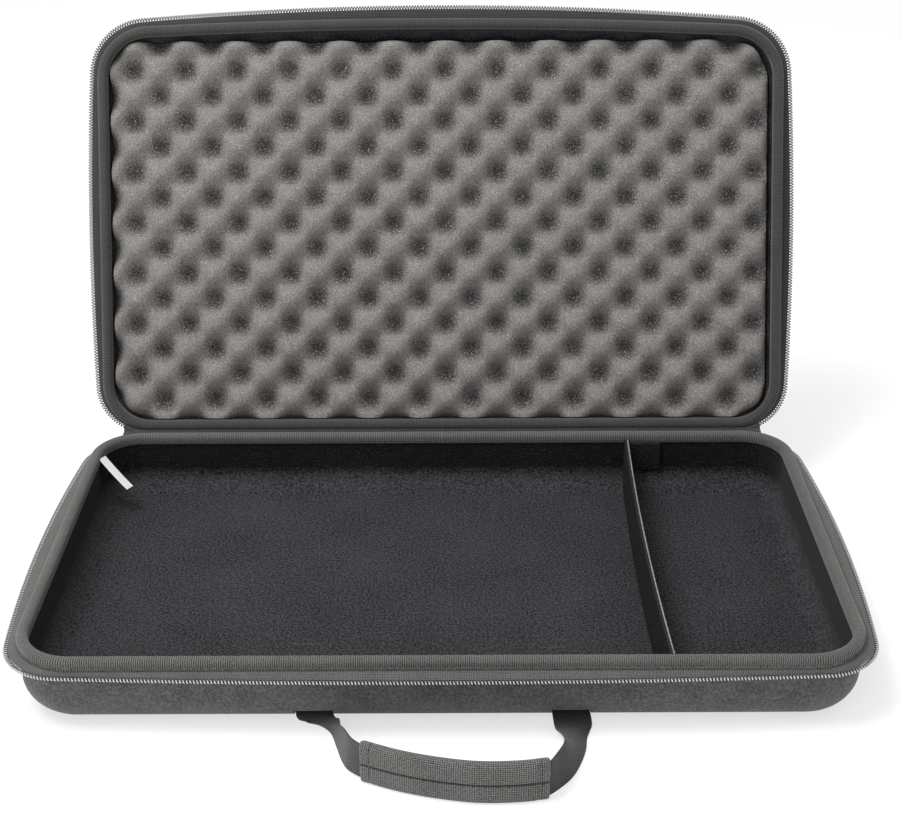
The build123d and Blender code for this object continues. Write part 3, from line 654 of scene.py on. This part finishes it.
def makeBinding(which):
    look = bindingLook
    section = bindingSection()
    count = look["samples"]
    x, y, nx, ny, total = rimLine(grow=0.0, count=count, **rims[which])
    around = rimLine(grow=look["wide"] / 2, count=look["measured"], **rims[which])[4]
    across = runOf(section)[-1]

    def shape(a, b):
        px, py, qx, qy = between(a * (count - 1), x, y, nx, ny)
        out, h = between(b * (len(section) - 1), section[:, 0], section[:, 1])
        s = a * total
        ripple = np.sin(s * look["waves"][0]) * 0.5 + np.sin(s * look["waves"][1] + look["waveShift"]) * 0.5
        low = np.clip(1 - b * look["hemShare"], 0, 1)
        out = out + ripple * low * look["pucker"] - low * look["draw"]
        h = h + ripple * low * look["lift"]
        return place(np.stack([px + qx * out, py + qy * out, h], 1), axesOf[which])

    obj = shapedGrid(which + "BindingTape", count - 1, len(section) - 1, shape, closed=True,
                     uvSize=(total * 0.001, across * 0.001))
    smooth(obj, 50)
    # the lid's binding takes the darker copy: painted shade
    obj.data.materials.append(bindingRib if which == "tray" else lidBindingRibShaded)
    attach(obj, which)
    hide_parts(which + "_binding")
    round(around * 0.001, 3)


for which in ("tray", "lid"):
    makeBinding(which)
print("bindings made")

# The zip tape: from under the binding's hem out to the coil, bowed a little across its width and rippled
# faintly along it.
tapeLook = {
    "top": -9.2, "edge": -12.2, "thick": 0.6, "openHalf": 274.0, "under": 8.2, "reach": -1.7,
    "cutWide": 0.014, "samples": 900, "columns": 860, "rows": 6, "evened": 6, "bulge": 0.5,
    "waves": 140, "waveHigh": 0.12, "uvWide": 0.012,
}


# the entries of a coil's line between which the zip runs, round the front from side to side
def zipSpan(x):
    first = np.argmax(x > tapeLook["openHalf"])
    last = len(x) - np.argmax((x < -tapeLook["openHalf"])[::-1]) - 1
    return first, last


def makeTape(which):
    look = tapeLook
    x0, y0, _, _, _ = rimLine(grow=look["under"], count=look["samples"], **rims[which])
    x1, y1, _, _, total = rimLine(grow=look["reach"], count=look["samples"], **coils[which])
    ox, oy = between(np.linspace(*zipSpan(x1), look["columns"]), x1, y1)
    # each outer point has the nearest inner one, evened out along the tape
    near = np.array([np.argmin((x0 - px) ** 2 + (y0 - py) ** 2) for px, py in zip(ox, oy)], dtype=float)
    window = 2 * look["evened"] + 1
    near = np.convolve(np.pad(near, look["evened"], mode="edge"), np.ones(window) / window, mode="valid")
    ix, iy = between(near, x0, y0)
    n = look["columns"]

    def shape(a, b):
        sx, sy, ex, ey = between(a * (n - 1), ix, iy, ox, oy)
        drop = look["top"] + (look["edge"] - look["top"]) * b
        bulge = np.sin(b * math.pi) * look["bulge"] + np.sin(a * look["waves"]) * look["waveHigh"] * b
        return place(np.stack([sx + (ex - sx) * b, sy + (ey - sy) * b, drop + bulge], 1), axesOf[which])

    obj = shapedGrid(which + "ZipTape", n - 1, look["rows"], shape, uvSize=(total * 0.001, look["uvWide"]))
    thicken(obj, look["thick"])
    # the lid's tape takes the darker copy: painted shade
    surface(obj, 50, tapeTwill if which == "tray" else lidTapeTwillShaded)
    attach(obj, which)
    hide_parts(which + "_zip_tape")


# The coil: one nylon spiral, flattened, sewn along the edge of the tape.
coilLook = {
    "pitch": 2.5, "halfWide": 1.75, "halfHigh": 1.15, "wire": 0.46, "centre": -12.9, "sides": 5,
    "turnPoints": 9, "samples": 3000,
}


def makeCoil(which):
    look = coilLook
    count, perTurn = look["samples"], look["turnPoints"]
    x, y, nx, ny, total = rimLine(grow=0.0, count=count, **coils[which])
    first, last = zipSpan(x)
    turns = int(total * (last - first) / (count - 1) / look["pitch"])
    n = turns * perTurn
    px, py, qx, qy = between(np.linspace(first, last, n), x, y, nx, ny)
    turn = np.arange(n) * (2 * math.pi / perTurn)
    out = np.cos(turn) * look["halfWide"]
    up = np.sin(turn) * look["halfHigh"] + look["centre"]
    line = np.stack([px + qx * out, py + qy * out, up], 1)
    obj = tube(which + "ZipCoil", line, look["wire"], look["sides"], (0, 0, 1.0),
               toScene=lambda points: place(points, axesOf[which]), uvSize=((n - 1) / perTurn, 1.0))
    # the lid's coil takes the darker copy: painted shade
    surface(obj, 60, zipNylon if which == "tray" else lidNylonShaded)
    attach(obj, which)
    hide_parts(which + "_zip_coil")


for which in ("tray", "lid"):
    makeTape(which)
    makeCoil(which)
print("zip made")

# The egg-crate pad. Its corners are (side, end, radius); its torn edge sinks a little.
foamLook = {
    "pitchX": 47.0, "pitchV": 46.0, "dimpleX": -278.0, "dimpleV": 326.0, "top": -3.0, "swing": 7.0,
    "left": -299.0, "right": 297.0, "back": 10.3, "front": 352.0, "floor": -23.0, "step": 2.4,
    "corners": ((-1, -1, 33.0), (1, -1, 33.0), (1, 1, 36.0), (-1, 1, 30.0)),
    "fullness": 0.9, "edgeWide": 7.0, "edgeDrop": 3.0, "pitSharp": 1.1, "uvSize": (0.596, 0.342),
}


def foamHeight(x, v):
    f = foamLook
    alongX = np.cos((x - f["dimpleX"]) * 2 * math.pi / f["pitchX"])
    alongV = np.cos((v - f["dimpleV"]) * 2 * math.pi / f["pitchV"])
    return f["top"] - f["swing"] - f["swing"] * squared(alongX * alongV, f["fullness"])


def makeFoam():
    f = foamLook
    cx, cv = (f["left"] + f["right"]) / 2, (f["back"] + f["front"]) / 2
    hx, hv = (f["right"] - f["left"]) / 2, (f["front"] - f["back"]) / 2

    def shape(a, b):
        x = cx + (a * 2 - 1) * hx
        v = cv + (b * 2 - 1) * hv
        # corners are pulled in to the pad's rounded outline
        for sx, sv, r in f["corners"]:
            ccx, ccv = cx + sx * (hx - r), cv + sv * (hv - r)
            inside = ((x - ccx) * sx > 0) & ((v - ccv) * sv > 0)
            ux, uv = (x - ccx) / r, (v - ccv) / r
            big = np.maximum(np.abs(ux), np.abs(uv))
            far = np.hypot(ux, uv)
            scale = np.where(far > 1e-6, big / np.maximum(far, 1e-6), 1.0)
            x = np.where(inside, ccx + ux * r * scale, x)
            v = np.where(inside, ccv + uv * r * scale, v)
        edge = np.minimum(np.minimum(a, 1 - a) * 2 * hx, np.minimum(b, 1 - b) * 2 * hv)
        sunk = np.clip(1 - edge / f["edgeWide"], 0, 1) ** 2 * f["edgeDrop"]
        return place(np.stack([x, v, foamHeight(x, v) - sunk], 1), lidAxes)

    cellsX, cellsV = int(2 * hx / f["step"]), int(2 * hv / f["step"])
    obj = shapedGrid("eggCrateFoam", cellsX, cellsV, shape, uvSize=f["uvSize"])
    high = ((pointsOf(obj.data) * 1000 - hingePoint) @ lidAxes.T)[:, 2]
    # each point's depth in its pit, kept for the painted shade in the foam's colour
    pitShadeDepth = np.clip((f["top"] - f["swing"] - high) / f["swing"], 0, 1) ** f["pitSharp"]
    obj.data.attributes.new("pitDepth", "FLOAT", "POINT").data.foreach_set("value", pitShadeDepth.astype(np.float32))
    # the outline is carried straight down to the lid's floor and closed there
    makeActive(obj)
    bpy.ops.object.mode_set(mode="EDIT")
    bpy.ops.mesh.select_all(action="DESELECT")
    bpy.ops.mesh.select_non_manifold()
    bpy.ops.mesh.extrude_region_move(TRANSFORM_OT_translate={"value": (0, 0, 0)})
    bpy.ops.object.mode_set(mode="OBJECT")
    down = Vector(lidAxes[2]) * 0.001
    for v in [v for v in obj.data.vertices if v.select]:
        h = float((np.array(v.co) * 1000 - hingePoint) @ lidAxes[2])
        v.co = v.co + down * (f["floor"] - h)
    makeActive(obj)
    bpy.ops.object.mode_set(mode="EDIT")
    bpy.ops.mesh.edge_face_add()
    bpy.ops.object.mode_set(mode="OBJECT")
    surface(obj, 50, foamCells)
    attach(obj, "lid")
    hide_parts("lid_foam")


makeFoam()
print("foam made")

# A sewing thread: a thin tube through given points, which dives into the cloth between its stitches.
threadLook = {"sides": 4, "upright": (0.13, 0.21, 0.97), "stitchPoints": 8}


def threadRun(name, line, radius, sides=threadLook["sides"], material=thread):
    obj = tube(name, line, radius, sides, threadLook["upright"])
    surface(obj, 80, material)
    return obj


# how many points a row of stitches has, and how high each of them lies
def stitchPoints(stitches):
    return stitches * threadLook["stitchPoints"] + 1


def stitchHeights(count, level, swing):
    return level + swing * np.sin(np.arange(count) * 2 * math.pi / threadLook["stitchPoints"])


# The hem under each binding: a zigzag thread on the lower part of its outer leg. The swing is how
# far each of a zigzag's points stands out.
hemLook = {
    "pitch": 2.3, "out": 9.12, "high": -6.7, "low": -8.9, "radius": 0.4, "swing": (-0.1, 0.2, -0.1, 0.2),
    "samples": 3000,
}


def makeHem(which):
    look = hemLook
    swing = np.array(look["swing"])
    middle = (look["low"] + look["high"]) / 2
    levels = np.array([look["low"], middle, look["high"], middle])
    length = rimLine(grow=look["out"], count=look["samples"], **rims[which])[4]
    n = int(length / look["pitch"]) * len(swing) + 1
    x, y, nx, ny, _ = rimLine(grow=look["out"], count=n, **rims[which])
    step = np.arange(n) % len(swing)
    line = place(np.stack([x + nx * swing[step], y + ny * swing[step], levels[step]], 1), axesOf[which])
    obj = threadRun(which + "HemThread", line, look["radius"] * 0.001)
    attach(obj, which)


for which in ("tray", "lid"):
    makeHem(which)
print("hems made")

# The fabric hinge: one strip that lies on the back of both halves and bends between them. Past
# half its legs are short, and from cornerAt on it steps over a shelf round the corner.
hingeLook = {
    "half": 224.0, "endHalf": 291.0, "endStep": 3.0, "cornerAt": 271.3, "cornerRound": 42.0,
    "shelfShare": 0.4, "shelfFull": 1.5, "shortLeg": 8.6, "trayLeg": 33.4, "lidLeg": 11.4, "legShare": 0.48,
    "fold": 1.5, "lie": -0.2, "bindingEnd": -8.7, "slope": 0.5, "deepest": 0.75,
    "ripple": 0.05, "rippleHigh": 0.08, "thick": 0.9, "columns": 292, "rows": 24, "uvSize": (0.582, 0.045),
}


def makeHingeCloth():
    look = hingeLook

    def leg(top, length, x):
        past = np.clip(np.abs(x) - look["cornerAt"], 0, look["cornerRound"] - 1)
        corner = look["cornerRound"] - np.sqrt(look["cornerRound"] ** 2 - past ** 2)
        share = look["shelfShare"] * np.clip(corner / look["shelfFull"], 0, 1)
        shelf = np.where(share > 1e-6, np.clip(top / np.maximum(share, 1e-6), 0, 1), 1.0)
        down = np.clip((top - share) / (1 - share), 0, 1)
        h = -look["fold"] - (length - look["fold"]) * down
        # below the binding the cloth comes in to the cover
        inward = np.clip(look["lie"] + (look["bindingEnd"] - h) * look["slope"], look["lie"], look["deepest"])
        return np.where(h > look["bindingEnd"], look["lie"], inward) + corner * shelf, h

    def shape(a, b):
        x = (a * 2 - 1) * look["endHalf"]
        over = np.clip((np.abs(x) - look["half"]) / look["endStep"], 0, 1)
        trayLength = look["trayLeg"] + (look["shortLeg"] - look["trayLeg"]) * over
        lidLength = look["lidLeg"] + (look["shortLeg"] - look["lidLeg"]) * over
        tv, th = leg(np.clip(1 - b / look["legShare"], 0, 1), trayLength, x)
        lv, lh = leg(np.clip((b - (1 - look["legShare"])) / look["legShare"], 0, 1), lidLength, x)
        tray = place(np.stack([x, tv, th], 1), trayAxes)
        lid = place(np.stack([x, lv, lh], 1), lidAxes)
        points = np.where((b < 0.5)[:, None], tray, lid)
        points[:, 1] += np.sin(x * look["ripple"]) * look["rippleHigh"] * 0.001
        return points

    obj = shapedGrid("hingeCloth", look["columns"], look["rows"], shape, uvSize=look["uvSize"])
    thicken(obj, look["thick"])
    # the hinge takes the lid binding's darker copy: painted shade
    surface(obj, 50, hingeRibShaded)
    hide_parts("tray_hinge_band", "lid_hinge_band")
    near = place([[0, look["lie"], -look["fold"]]], trayAxes)[0]
    far = place([[0, look["lie"], -look["fold"]]], lidAxes)[0]
    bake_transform(obj)


makeHingeCloth()
print("hinge made")

# The webbing: it leaves its recess flat, creases and then stands on its edge in front of the case.
# Each pair is a point on its lower edge and one on its upper edge, with heights from the underside.
webbingLook = {"wide": 28.0, "thick": 1.5, "crossCells": 10, "alongCells": 110, "uvSize": (0.15, 0.028)}
leftWeb = [
    ((-107.0, 331.0, 0.9), (-79.0, 331.0, 0.9)), ((-107.0, 337.3, 0.9), (-79.0, 337.3, 0.9)),
    ((-107.2, 345.0, 0.9), (-79.2, 346.0, 0.9)), ((-104.5, 351.5, 1.0), (-77.0, 355.0, 4.0)),
    ((-98.3, 355.1, 1.0), (-73.6, 364.3, 10.0)), ((-88.6, 358.5, 1.0), (-72.3, 376.0, 15.0)),
    ((-79.5, 368.0, 1.0), (-69.6, 386.4, 20.0)), ((-73.9, 385.0, 1.0), (-67.2, 396.8, 25.0)),
    ((-69.5, 400.0, 1.2), (-65.0, 405.0, 28.4)), ((-64.5, 410.5, 1.6), (-61.5, 412.0, 29.4)),
    ((-55.0, 419.5, 2.5), (-55.0, 419.5, 30.5)), ((-48.0, 422.6, 2.5), (-48.0, 422.6, 30.5)),
]
rightWeb = [
    ((109.8, 331.0, 0.9), (81.8, 331.0, 0.9)), ((109.8, 337.3, 0.9), (81.8, 337.3, 0.9)),
    ((110.2, 346.0, 0.9), (82.2, 346.0, 0.9)), ((110.6, 356.0, 1.0), (82.6, 358.0, 1.6)),
    ((109.9, 362.0, 1.0), (83.2, 368.8, 5.0)), ((108.4, 366.5, 1.0), (85.4, 379.8, 10.0)),
    ((105.0, 375.8, 1.0), (87.2, 390.8, 15.5)), ((103.3, 388.0, 1.0), (87.5, 400.4, 20.0)),
    ((99.0, 402.8, 1.0), (87.0, 408.7, 25.4)), ((91.6, 419.3, 1.2), (85.5, 417.5, 28.4)),
    ((82.5, 431.0, 1.6), (79.8, 429.8, 29.4)), ((74.5, 439.2, 2.5), (74.5, 439.2, 30.5)),
    ((68.0, 440.8, 2.5), (68.0, 440.8, 30.5)),
]


def makeWebbing(name, pairs, node, material):
    look = webbingLook
    last = look["alongCells"]
    low = smoothLine([q[0] for q in pairs], last + 1)
    high = smoothLine([q[1] for q in pairs], last + 1)
    middle = (low + high) / 2
    across = high - low
    across *= (look["wide"] / 2 / np.linalg.norm(across, axis=1))[:, None]

    def shape(a, b):
        i = np.clip(np.round(a * last).astype(int), 0, last)
        return placeFromFloor(middle[i] + across[i] * (b * 2 - 1)[:, None])

    obj = shapedGrid(name, last, look["crossCells"], shape, uvSize=look["uvSize"])
    thicken(obj, look["thick"])
    surface(obj, 60, material)
    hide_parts(node)
    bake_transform(obj)


makeWebbing("webbingLeft", leftWeb, "handle_strap_left", webbingWeave)
# the right strap takes the darker copy of the webbing: painted shade
makeWebbing("webbingRight", rightWeb, "handle_strap_right", webbingShaded)
print("webbing made")

# The grip: a padded sleeve closed along a seam in the middle of its outer face. squareHigh and
# squareThick make its section squarer than an ellipse.
gripLook = {
    "line": [(-55.0, 419.5), (-28.0, 431.0), (0.0, 438.9), (27.0, 443.2), (54.0, 442.6), (74.5, 439.2)],
    "high": 33.0, "thick": 9.0, "middle": 16.5, "squareHigh": 0.42, "squareThick": 0.62, "inward": 0.25,
    "seam": 16.5, "seamWide": 0.9, "seamDeep": 0.9, "endSeam": 8.0, "endSeamWide": 0.8, "endSeamDeep": 0.45,
    "crown": 0.1, "taper": 2.2, "taperThin": 0.45, "taperLow": 0.03,
    "along": 260, "round": 96, "ringPoints": 4001, "uvRound": 0.078,
}
# The grip's threads: a long one beside the seam and a short one across each end.
gripThread = {
    "radius": 0.3, "fromSeam": 1.3, "stitches": 40, "out": 3.72, "swing": 0.42,
    "endStitches": 9, "endOut": 3.55, "endSwing": 0.4, "endLow": 3.5, "endHigh": 29.5, "samples": 600,
}


# the grip's line as evenly spaced points, their outward directions and its length
def gripFrame(count):
    line = smoothLine([(x, v, 0) for x, v in gripLook["line"]], count)
    run = runOf(line)
    at = np.linspace(0, run[-1], count)
    line = np.stack([np.interp(at, run, line[:, k]) for k in range(3)], 1)
    ahead = np.gradient(line, axis=0)
    ahead /= np.linalg.norm(ahead, axis=1)[:, None]
    outward = np.stack([-ahead[:, 1], ahead[:, 0], np.zeros(count)], 1)
    return line, outward, run[-1]


def gripPoint(line, outward, i, sideways, z):
    q = line[i] + outward[i] * sideways[:, None]
    q[:, 2] = z
    return placeFromFloor(q)


def makeGrip():
    look = gripLook
    n = look["along"]
    line, outward, length = gripFrame(n + 1)

    def section(angle):
        z = squared(np.sin(angle), look["squareHigh"]) * look["high"] / 2
        t = squared(np.cos(angle), look["squareThick"]) * look["thick"] / 2
        return z, t

    # the section's points are spaced by its length, so that the weave keeps one size round it
    turns = np.linspace(0, 2 * math.pi, look["ringPoints"])
    ring = runOf(np.stack(section(turns), 1))

    def shape(a, b):
        i = np.clip(np.round(a * n).astype(int), 0, n)
        z, t = section(np.interp(b * ring[-1], ring, turns))
        end = np.minimum(a * length, length - a * length)
        taper = np.clip(1 - end / look["taper"], 0, 1) ** 2
        t = t * (1 - look["taperThin"] * taper)
        z = z * (1 - look["taperLow"] * taper) + look["middle"]
        seam = np.exp(-((z - look["seam"]) / look["seamWide"]) ** 2) * look["seamDeep"]
        stitched = np.exp(-((end - look["endSeam"]) / look["endSeamWide"]) ** 2) * look["endSeamDeep"]
        fromSeam = np.clip(np.abs(z - look["seam"]) / (look["high"] / 2), 0, 1)
        crown = np.sin(fromSeam * math.pi) * look["crown"]
        t = t - np.clip(t / 2, 0, 1) * (seam + stitched - crown)
        return gripPoint(line, outward, i, t - look["inward"], z)

    obj = shapedGrid("gripSleeve", n, look["round"], shape, closed=True,
                     uvSize=(length * 0.001, look["uvRound"]))
    surface(obj, 60, sleeveWeave)
    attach(obj, "handle")
    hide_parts("grip_sleeve")


def makeGripThreads():
    look = gripThread
    m = stitchPoints(look["stitches"])
    line, outward, _ = gripFrame(m)
    out = stitchHeights(m, look["out"], look["swing"])
    runs = [gripPoint(line, outward, np.arange(m), out, np.full(m, gripLook["seam"] + look["fromSeam"]))]
    line, outward, total = gripFrame(look["samples"])
    m = stitchPoints(look["endStitches"])
    out = stitchHeights(m, look["endOut"], look["endSwing"])
    z = np.linspace(look["endLow"], look["endHigh"], m)
    for s in (gripLook["endSeam"], total - gripLook["endSeam"]):
        k = int(round(s / total * (look["samples"] - 1)))
        runs.append(gripPoint(line, outward, np.full(m, k), out, z))
    threads = [threadRun("gripThread" + str(j), q, look["radius"] * 0.001) for j, q in enumerate(runs)]
    sewn = joinPieces("gripThreads", threads)
    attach(sewn, "handle")


makeGrip()
makeGripThreads()
print("grip made")

# Threads of the webbing's seats, which show in the tray's floor: each row is (start, end, v).
floorThreads = {
    "left": (-116.0, -95.0, 264.4), "right": (77.7, 96.3, 269.8), "high": 7.12, "swing": 0.3, "pitch": 3.4,
    "radius": 0.25,
}


def makeFloorThreads():
    look = floorThreads
    runs = []
    for x0, x1, v in (look["left"], look["right"]):
        m = stitchPoints(int((x1 - x0) / look["pitch"]))
        h = stitchHeights(m, look["high"], look["swing"]) - case["trayHeight"]
        line = place(np.stack([np.linspace(x0, x1, m), np.full(m, v), h], 1), trayAxes)
        runs.append(threadRun("floorThread" + str(len(runs)), line, look["radius"] * 0.001))
    obj = joinPieces("floorThreads", runs)
    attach(obj, "tray")


makeFloorThreads()

# The blank tag, sewn in under the binding and hanging into the tray.
tagLook = {
    "root": (-303.5, 41.0, -6.0), "tip": (-278.6, 53.4, -30.0), "wide": 12.5, "sag": 0.8, "thick": 0.35,
    "cells": (24, 8), "uvSize": (0.0367, 0.0125),
}


def makeTag():
    look = tagLook
    root, tip = np.array(look["root"]), np.array(look["tip"])
    along = (tip - root) / np.linalg.norm(tip - root)
    side = np.array([0, -1.0, 0]) + along * along[1]
    side /= np.linalg.norm(side)

    def shape(a, b):
        q = root + (tip - root) * a[:, None] + side * ((b - 0.5) * look["wide"])[:, None]
        q[:, 2] -= np.sin(a * math.pi) * look["sag"]
        return place(q, trayAxes)

    obj = shapedGrid("blankTag", *look["cells"], shape, uvSize=look["uvSize"])
    thicken(obj, look["thick"])
    surface(obj, 50, tagSatin)
    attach(obj, "tray")
    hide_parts("tray_label")


makeTag()
print("threads and tag made")

# The divider's folded top edge: a thin ridge along the top of its skin, coloured pale as a painted
# highlight. The skin's own points are in metres, and so are topBand, sideBand and ends.
edgeLook = {
    "radius": 0.55, "inset": 0.9, "samples": 160, "sides": 8,
    "topBand": 0.00005, "sideBand": 0.0002, "ends": 0.001,
}


def makeDividerEdge():
    look = edgeLook
    co = pointsOf(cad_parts["divider_skin"].data)
    top = co[co[:, 2] > co[:, 2].max() - look["topBand"]]
    bins = np.unique(np.round(top[:, 1], 4))
    side = np.array([[top[np.abs(top[:, 1] - b) < look["sideBand"]][:, 0].max(), b] for b in bins])
    curve = np.polyfit(side[:, 1], side[:, 0], 2)
    y = np.linspace(side[:, 1].min() + look["ends"], side[:, 1].max() - look["ends"], look["samples"])
    line = np.stack([np.polyval(curve, y) - look["inset"] * 0.001, y, np.full(len(y), top[0, 2])], 1)
    # the ridge's pale colour is a painted highlight
    obj = threadRun("dividerEdge", line, look["radius"] * 0.001, look["sides"], edgeHighlight)
    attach(obj, "divider")


makeDividerEdge()

# The nodes that keep their own forms, with the material of each.
dressed = [
    (coverCloth, ("tray_cover", "lid_cover")),
    (liningFleece, ("tray_lining", "lid_lining")),
    (dividerSkin, ("divider_skin",)),
    (boardFoam, ("tray_core", "lid_core", "divider_board", "grip_core")),
    (zipMetal, ("zip_slider_left", "zip_slider_right", "zip_pull_left", "zip_pull_right")),
    (zipMetal, ("zip_stop_left", "zip_stop_right")),
    (chainNylon, ("zip_chain_left", "zip_chain_right")),
    (hookPile, ("divider_hook_back", "divider_hook_front")),
    (webbingPlain, ("handle_anchor_left", "handle_anchor_right")),
]
for material, nodes in dressed:
    for node in nodes:
        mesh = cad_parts[node].data
        mesh.materials.clear()
        mesh.materials.append(material)
print("nodes dressed")

# Studio: pale floor, soft lights, camera as in the photograph. Lengths are metres and angles radians.
studio = {
    "floor": (0.93, 0.93, 0.93),
    "floorSize": 14,
    "floorAt": (0, 2, 0),
    "floorWhite": 0.62,
    "worldStrength": 0.86,
    "lights": {
        "keyLight": {"at": (-0.8, -0.3, 2.1), "towards": (0, 0.1, 0.1), "size": 0.9, "power": 48},
        "fillLight": {"at": (-1.3, -1.8, 1.1), "towards": (0, 0, 0.1), "size": 1.6, "power": 12},
    },
    "focalPixels": 1613.349,
    "pictureWidth": 902,
    "sensor": 36,
    "camera": (0.00829, -1.13506, 0.72743),
    "pitch": 0.454641,
    "yaw": 0.0,
    "roll": 0.00388,
}


def makeFloor():
    clearSelection()
    bpy.ops.mesh.primitive_plane_add(size=studio["floorSize"], location=studio["floorAt"])
    floor = bpy.context.object
    floor.name = "studioFloor"
    book = materialBook("floorPaint")
    paint = book.node("ShaderNodeBsdfPrincipled", None, Base_Color=studio["floor"], Roughness=0.7,
                      Specular_IOR_Level=0.1)
    white = book.node("ShaderNodeEmission", None, Strength=1.0)
    book.finish(book.mixShaders(book.seenDirectly() * studio["floorWhite"], paint, white))
    floor.data.materials.append(book.owner)


def makeWorld():
    world = bpy.data.worlds.new("studioWorld")
    bpy.context.scene.world = world
    book = Book(world, "ShaderNodeOutputWorld")
    soft = book.node("ShaderNodeBackground", None, Color=(1, 1, 1), Strength=studio["worldStrength"])
    white = book.node("ShaderNodeBackground", None, Color=(1, 1, 1), Strength=1.0)
    book.finish(book.mixShaders(book.seenDirectly(), soft, white))


def makeLight(name, look):
    light = bpy.data.lights.new(name, "AREA")
    light.shape = "SQUARE"
    light.size = look["size"]
    light.energy = look["power"]
    obj = bpy.data.objects.new(name, light)
    bpy.context.scene.collection.objects.link(obj)
    obj.location = look["at"]
    aim = Vector(look["towards"]) - Vector(look["at"])
    obj.rotation_euler = aim.to_track_quat("-Z", "Y").to_euler()


def makeCamera():
    camera = bpy.data.cameras.new("photoCamera")
    camera.lens = studio["focalPixels"] / studio["pictureWidth"] * studio["sensor"]
    camera.sensor_width = studio["sensor"]
    camera.sensor_fit = "HORIZONTAL"
    rig = bpy.data.objects.new("photoCamera", camera)
    bpy.context.scene.collection.objects.link(rig)
    pitch, yaw, roll = studio["pitch"], studio["yaw"], studio["roll"]
    ahead = Vector((math.sin(yaw) * math.cos(pitch), math.cos(yaw) * math.cos(pitch), -math.sin(pitch)))
    right = Vector((math.cos(yaw), -math.sin(yaw), 0))
    down = ahead.cross(right)
    rolledRight = right * math.cos(roll) + down * math.sin(roll)
    rolledDown = -right * math.sin(roll) + down * math.cos(roll)
    m = Matrix((rolledRight, -rolledDown, -ahead)).transposed().to_4x4()
    m.translation = Vector(studio["camera"])
    rig.matrix_world = m
    bpy.context.scene.camera = rig


makeFloor()
makeWorld()
for name, look in studio["lights"].items():
    makeLight(name, look)
makeCamera()
bpy.context.scene.view_settings.view_transform = "Standard"
print("studio made")
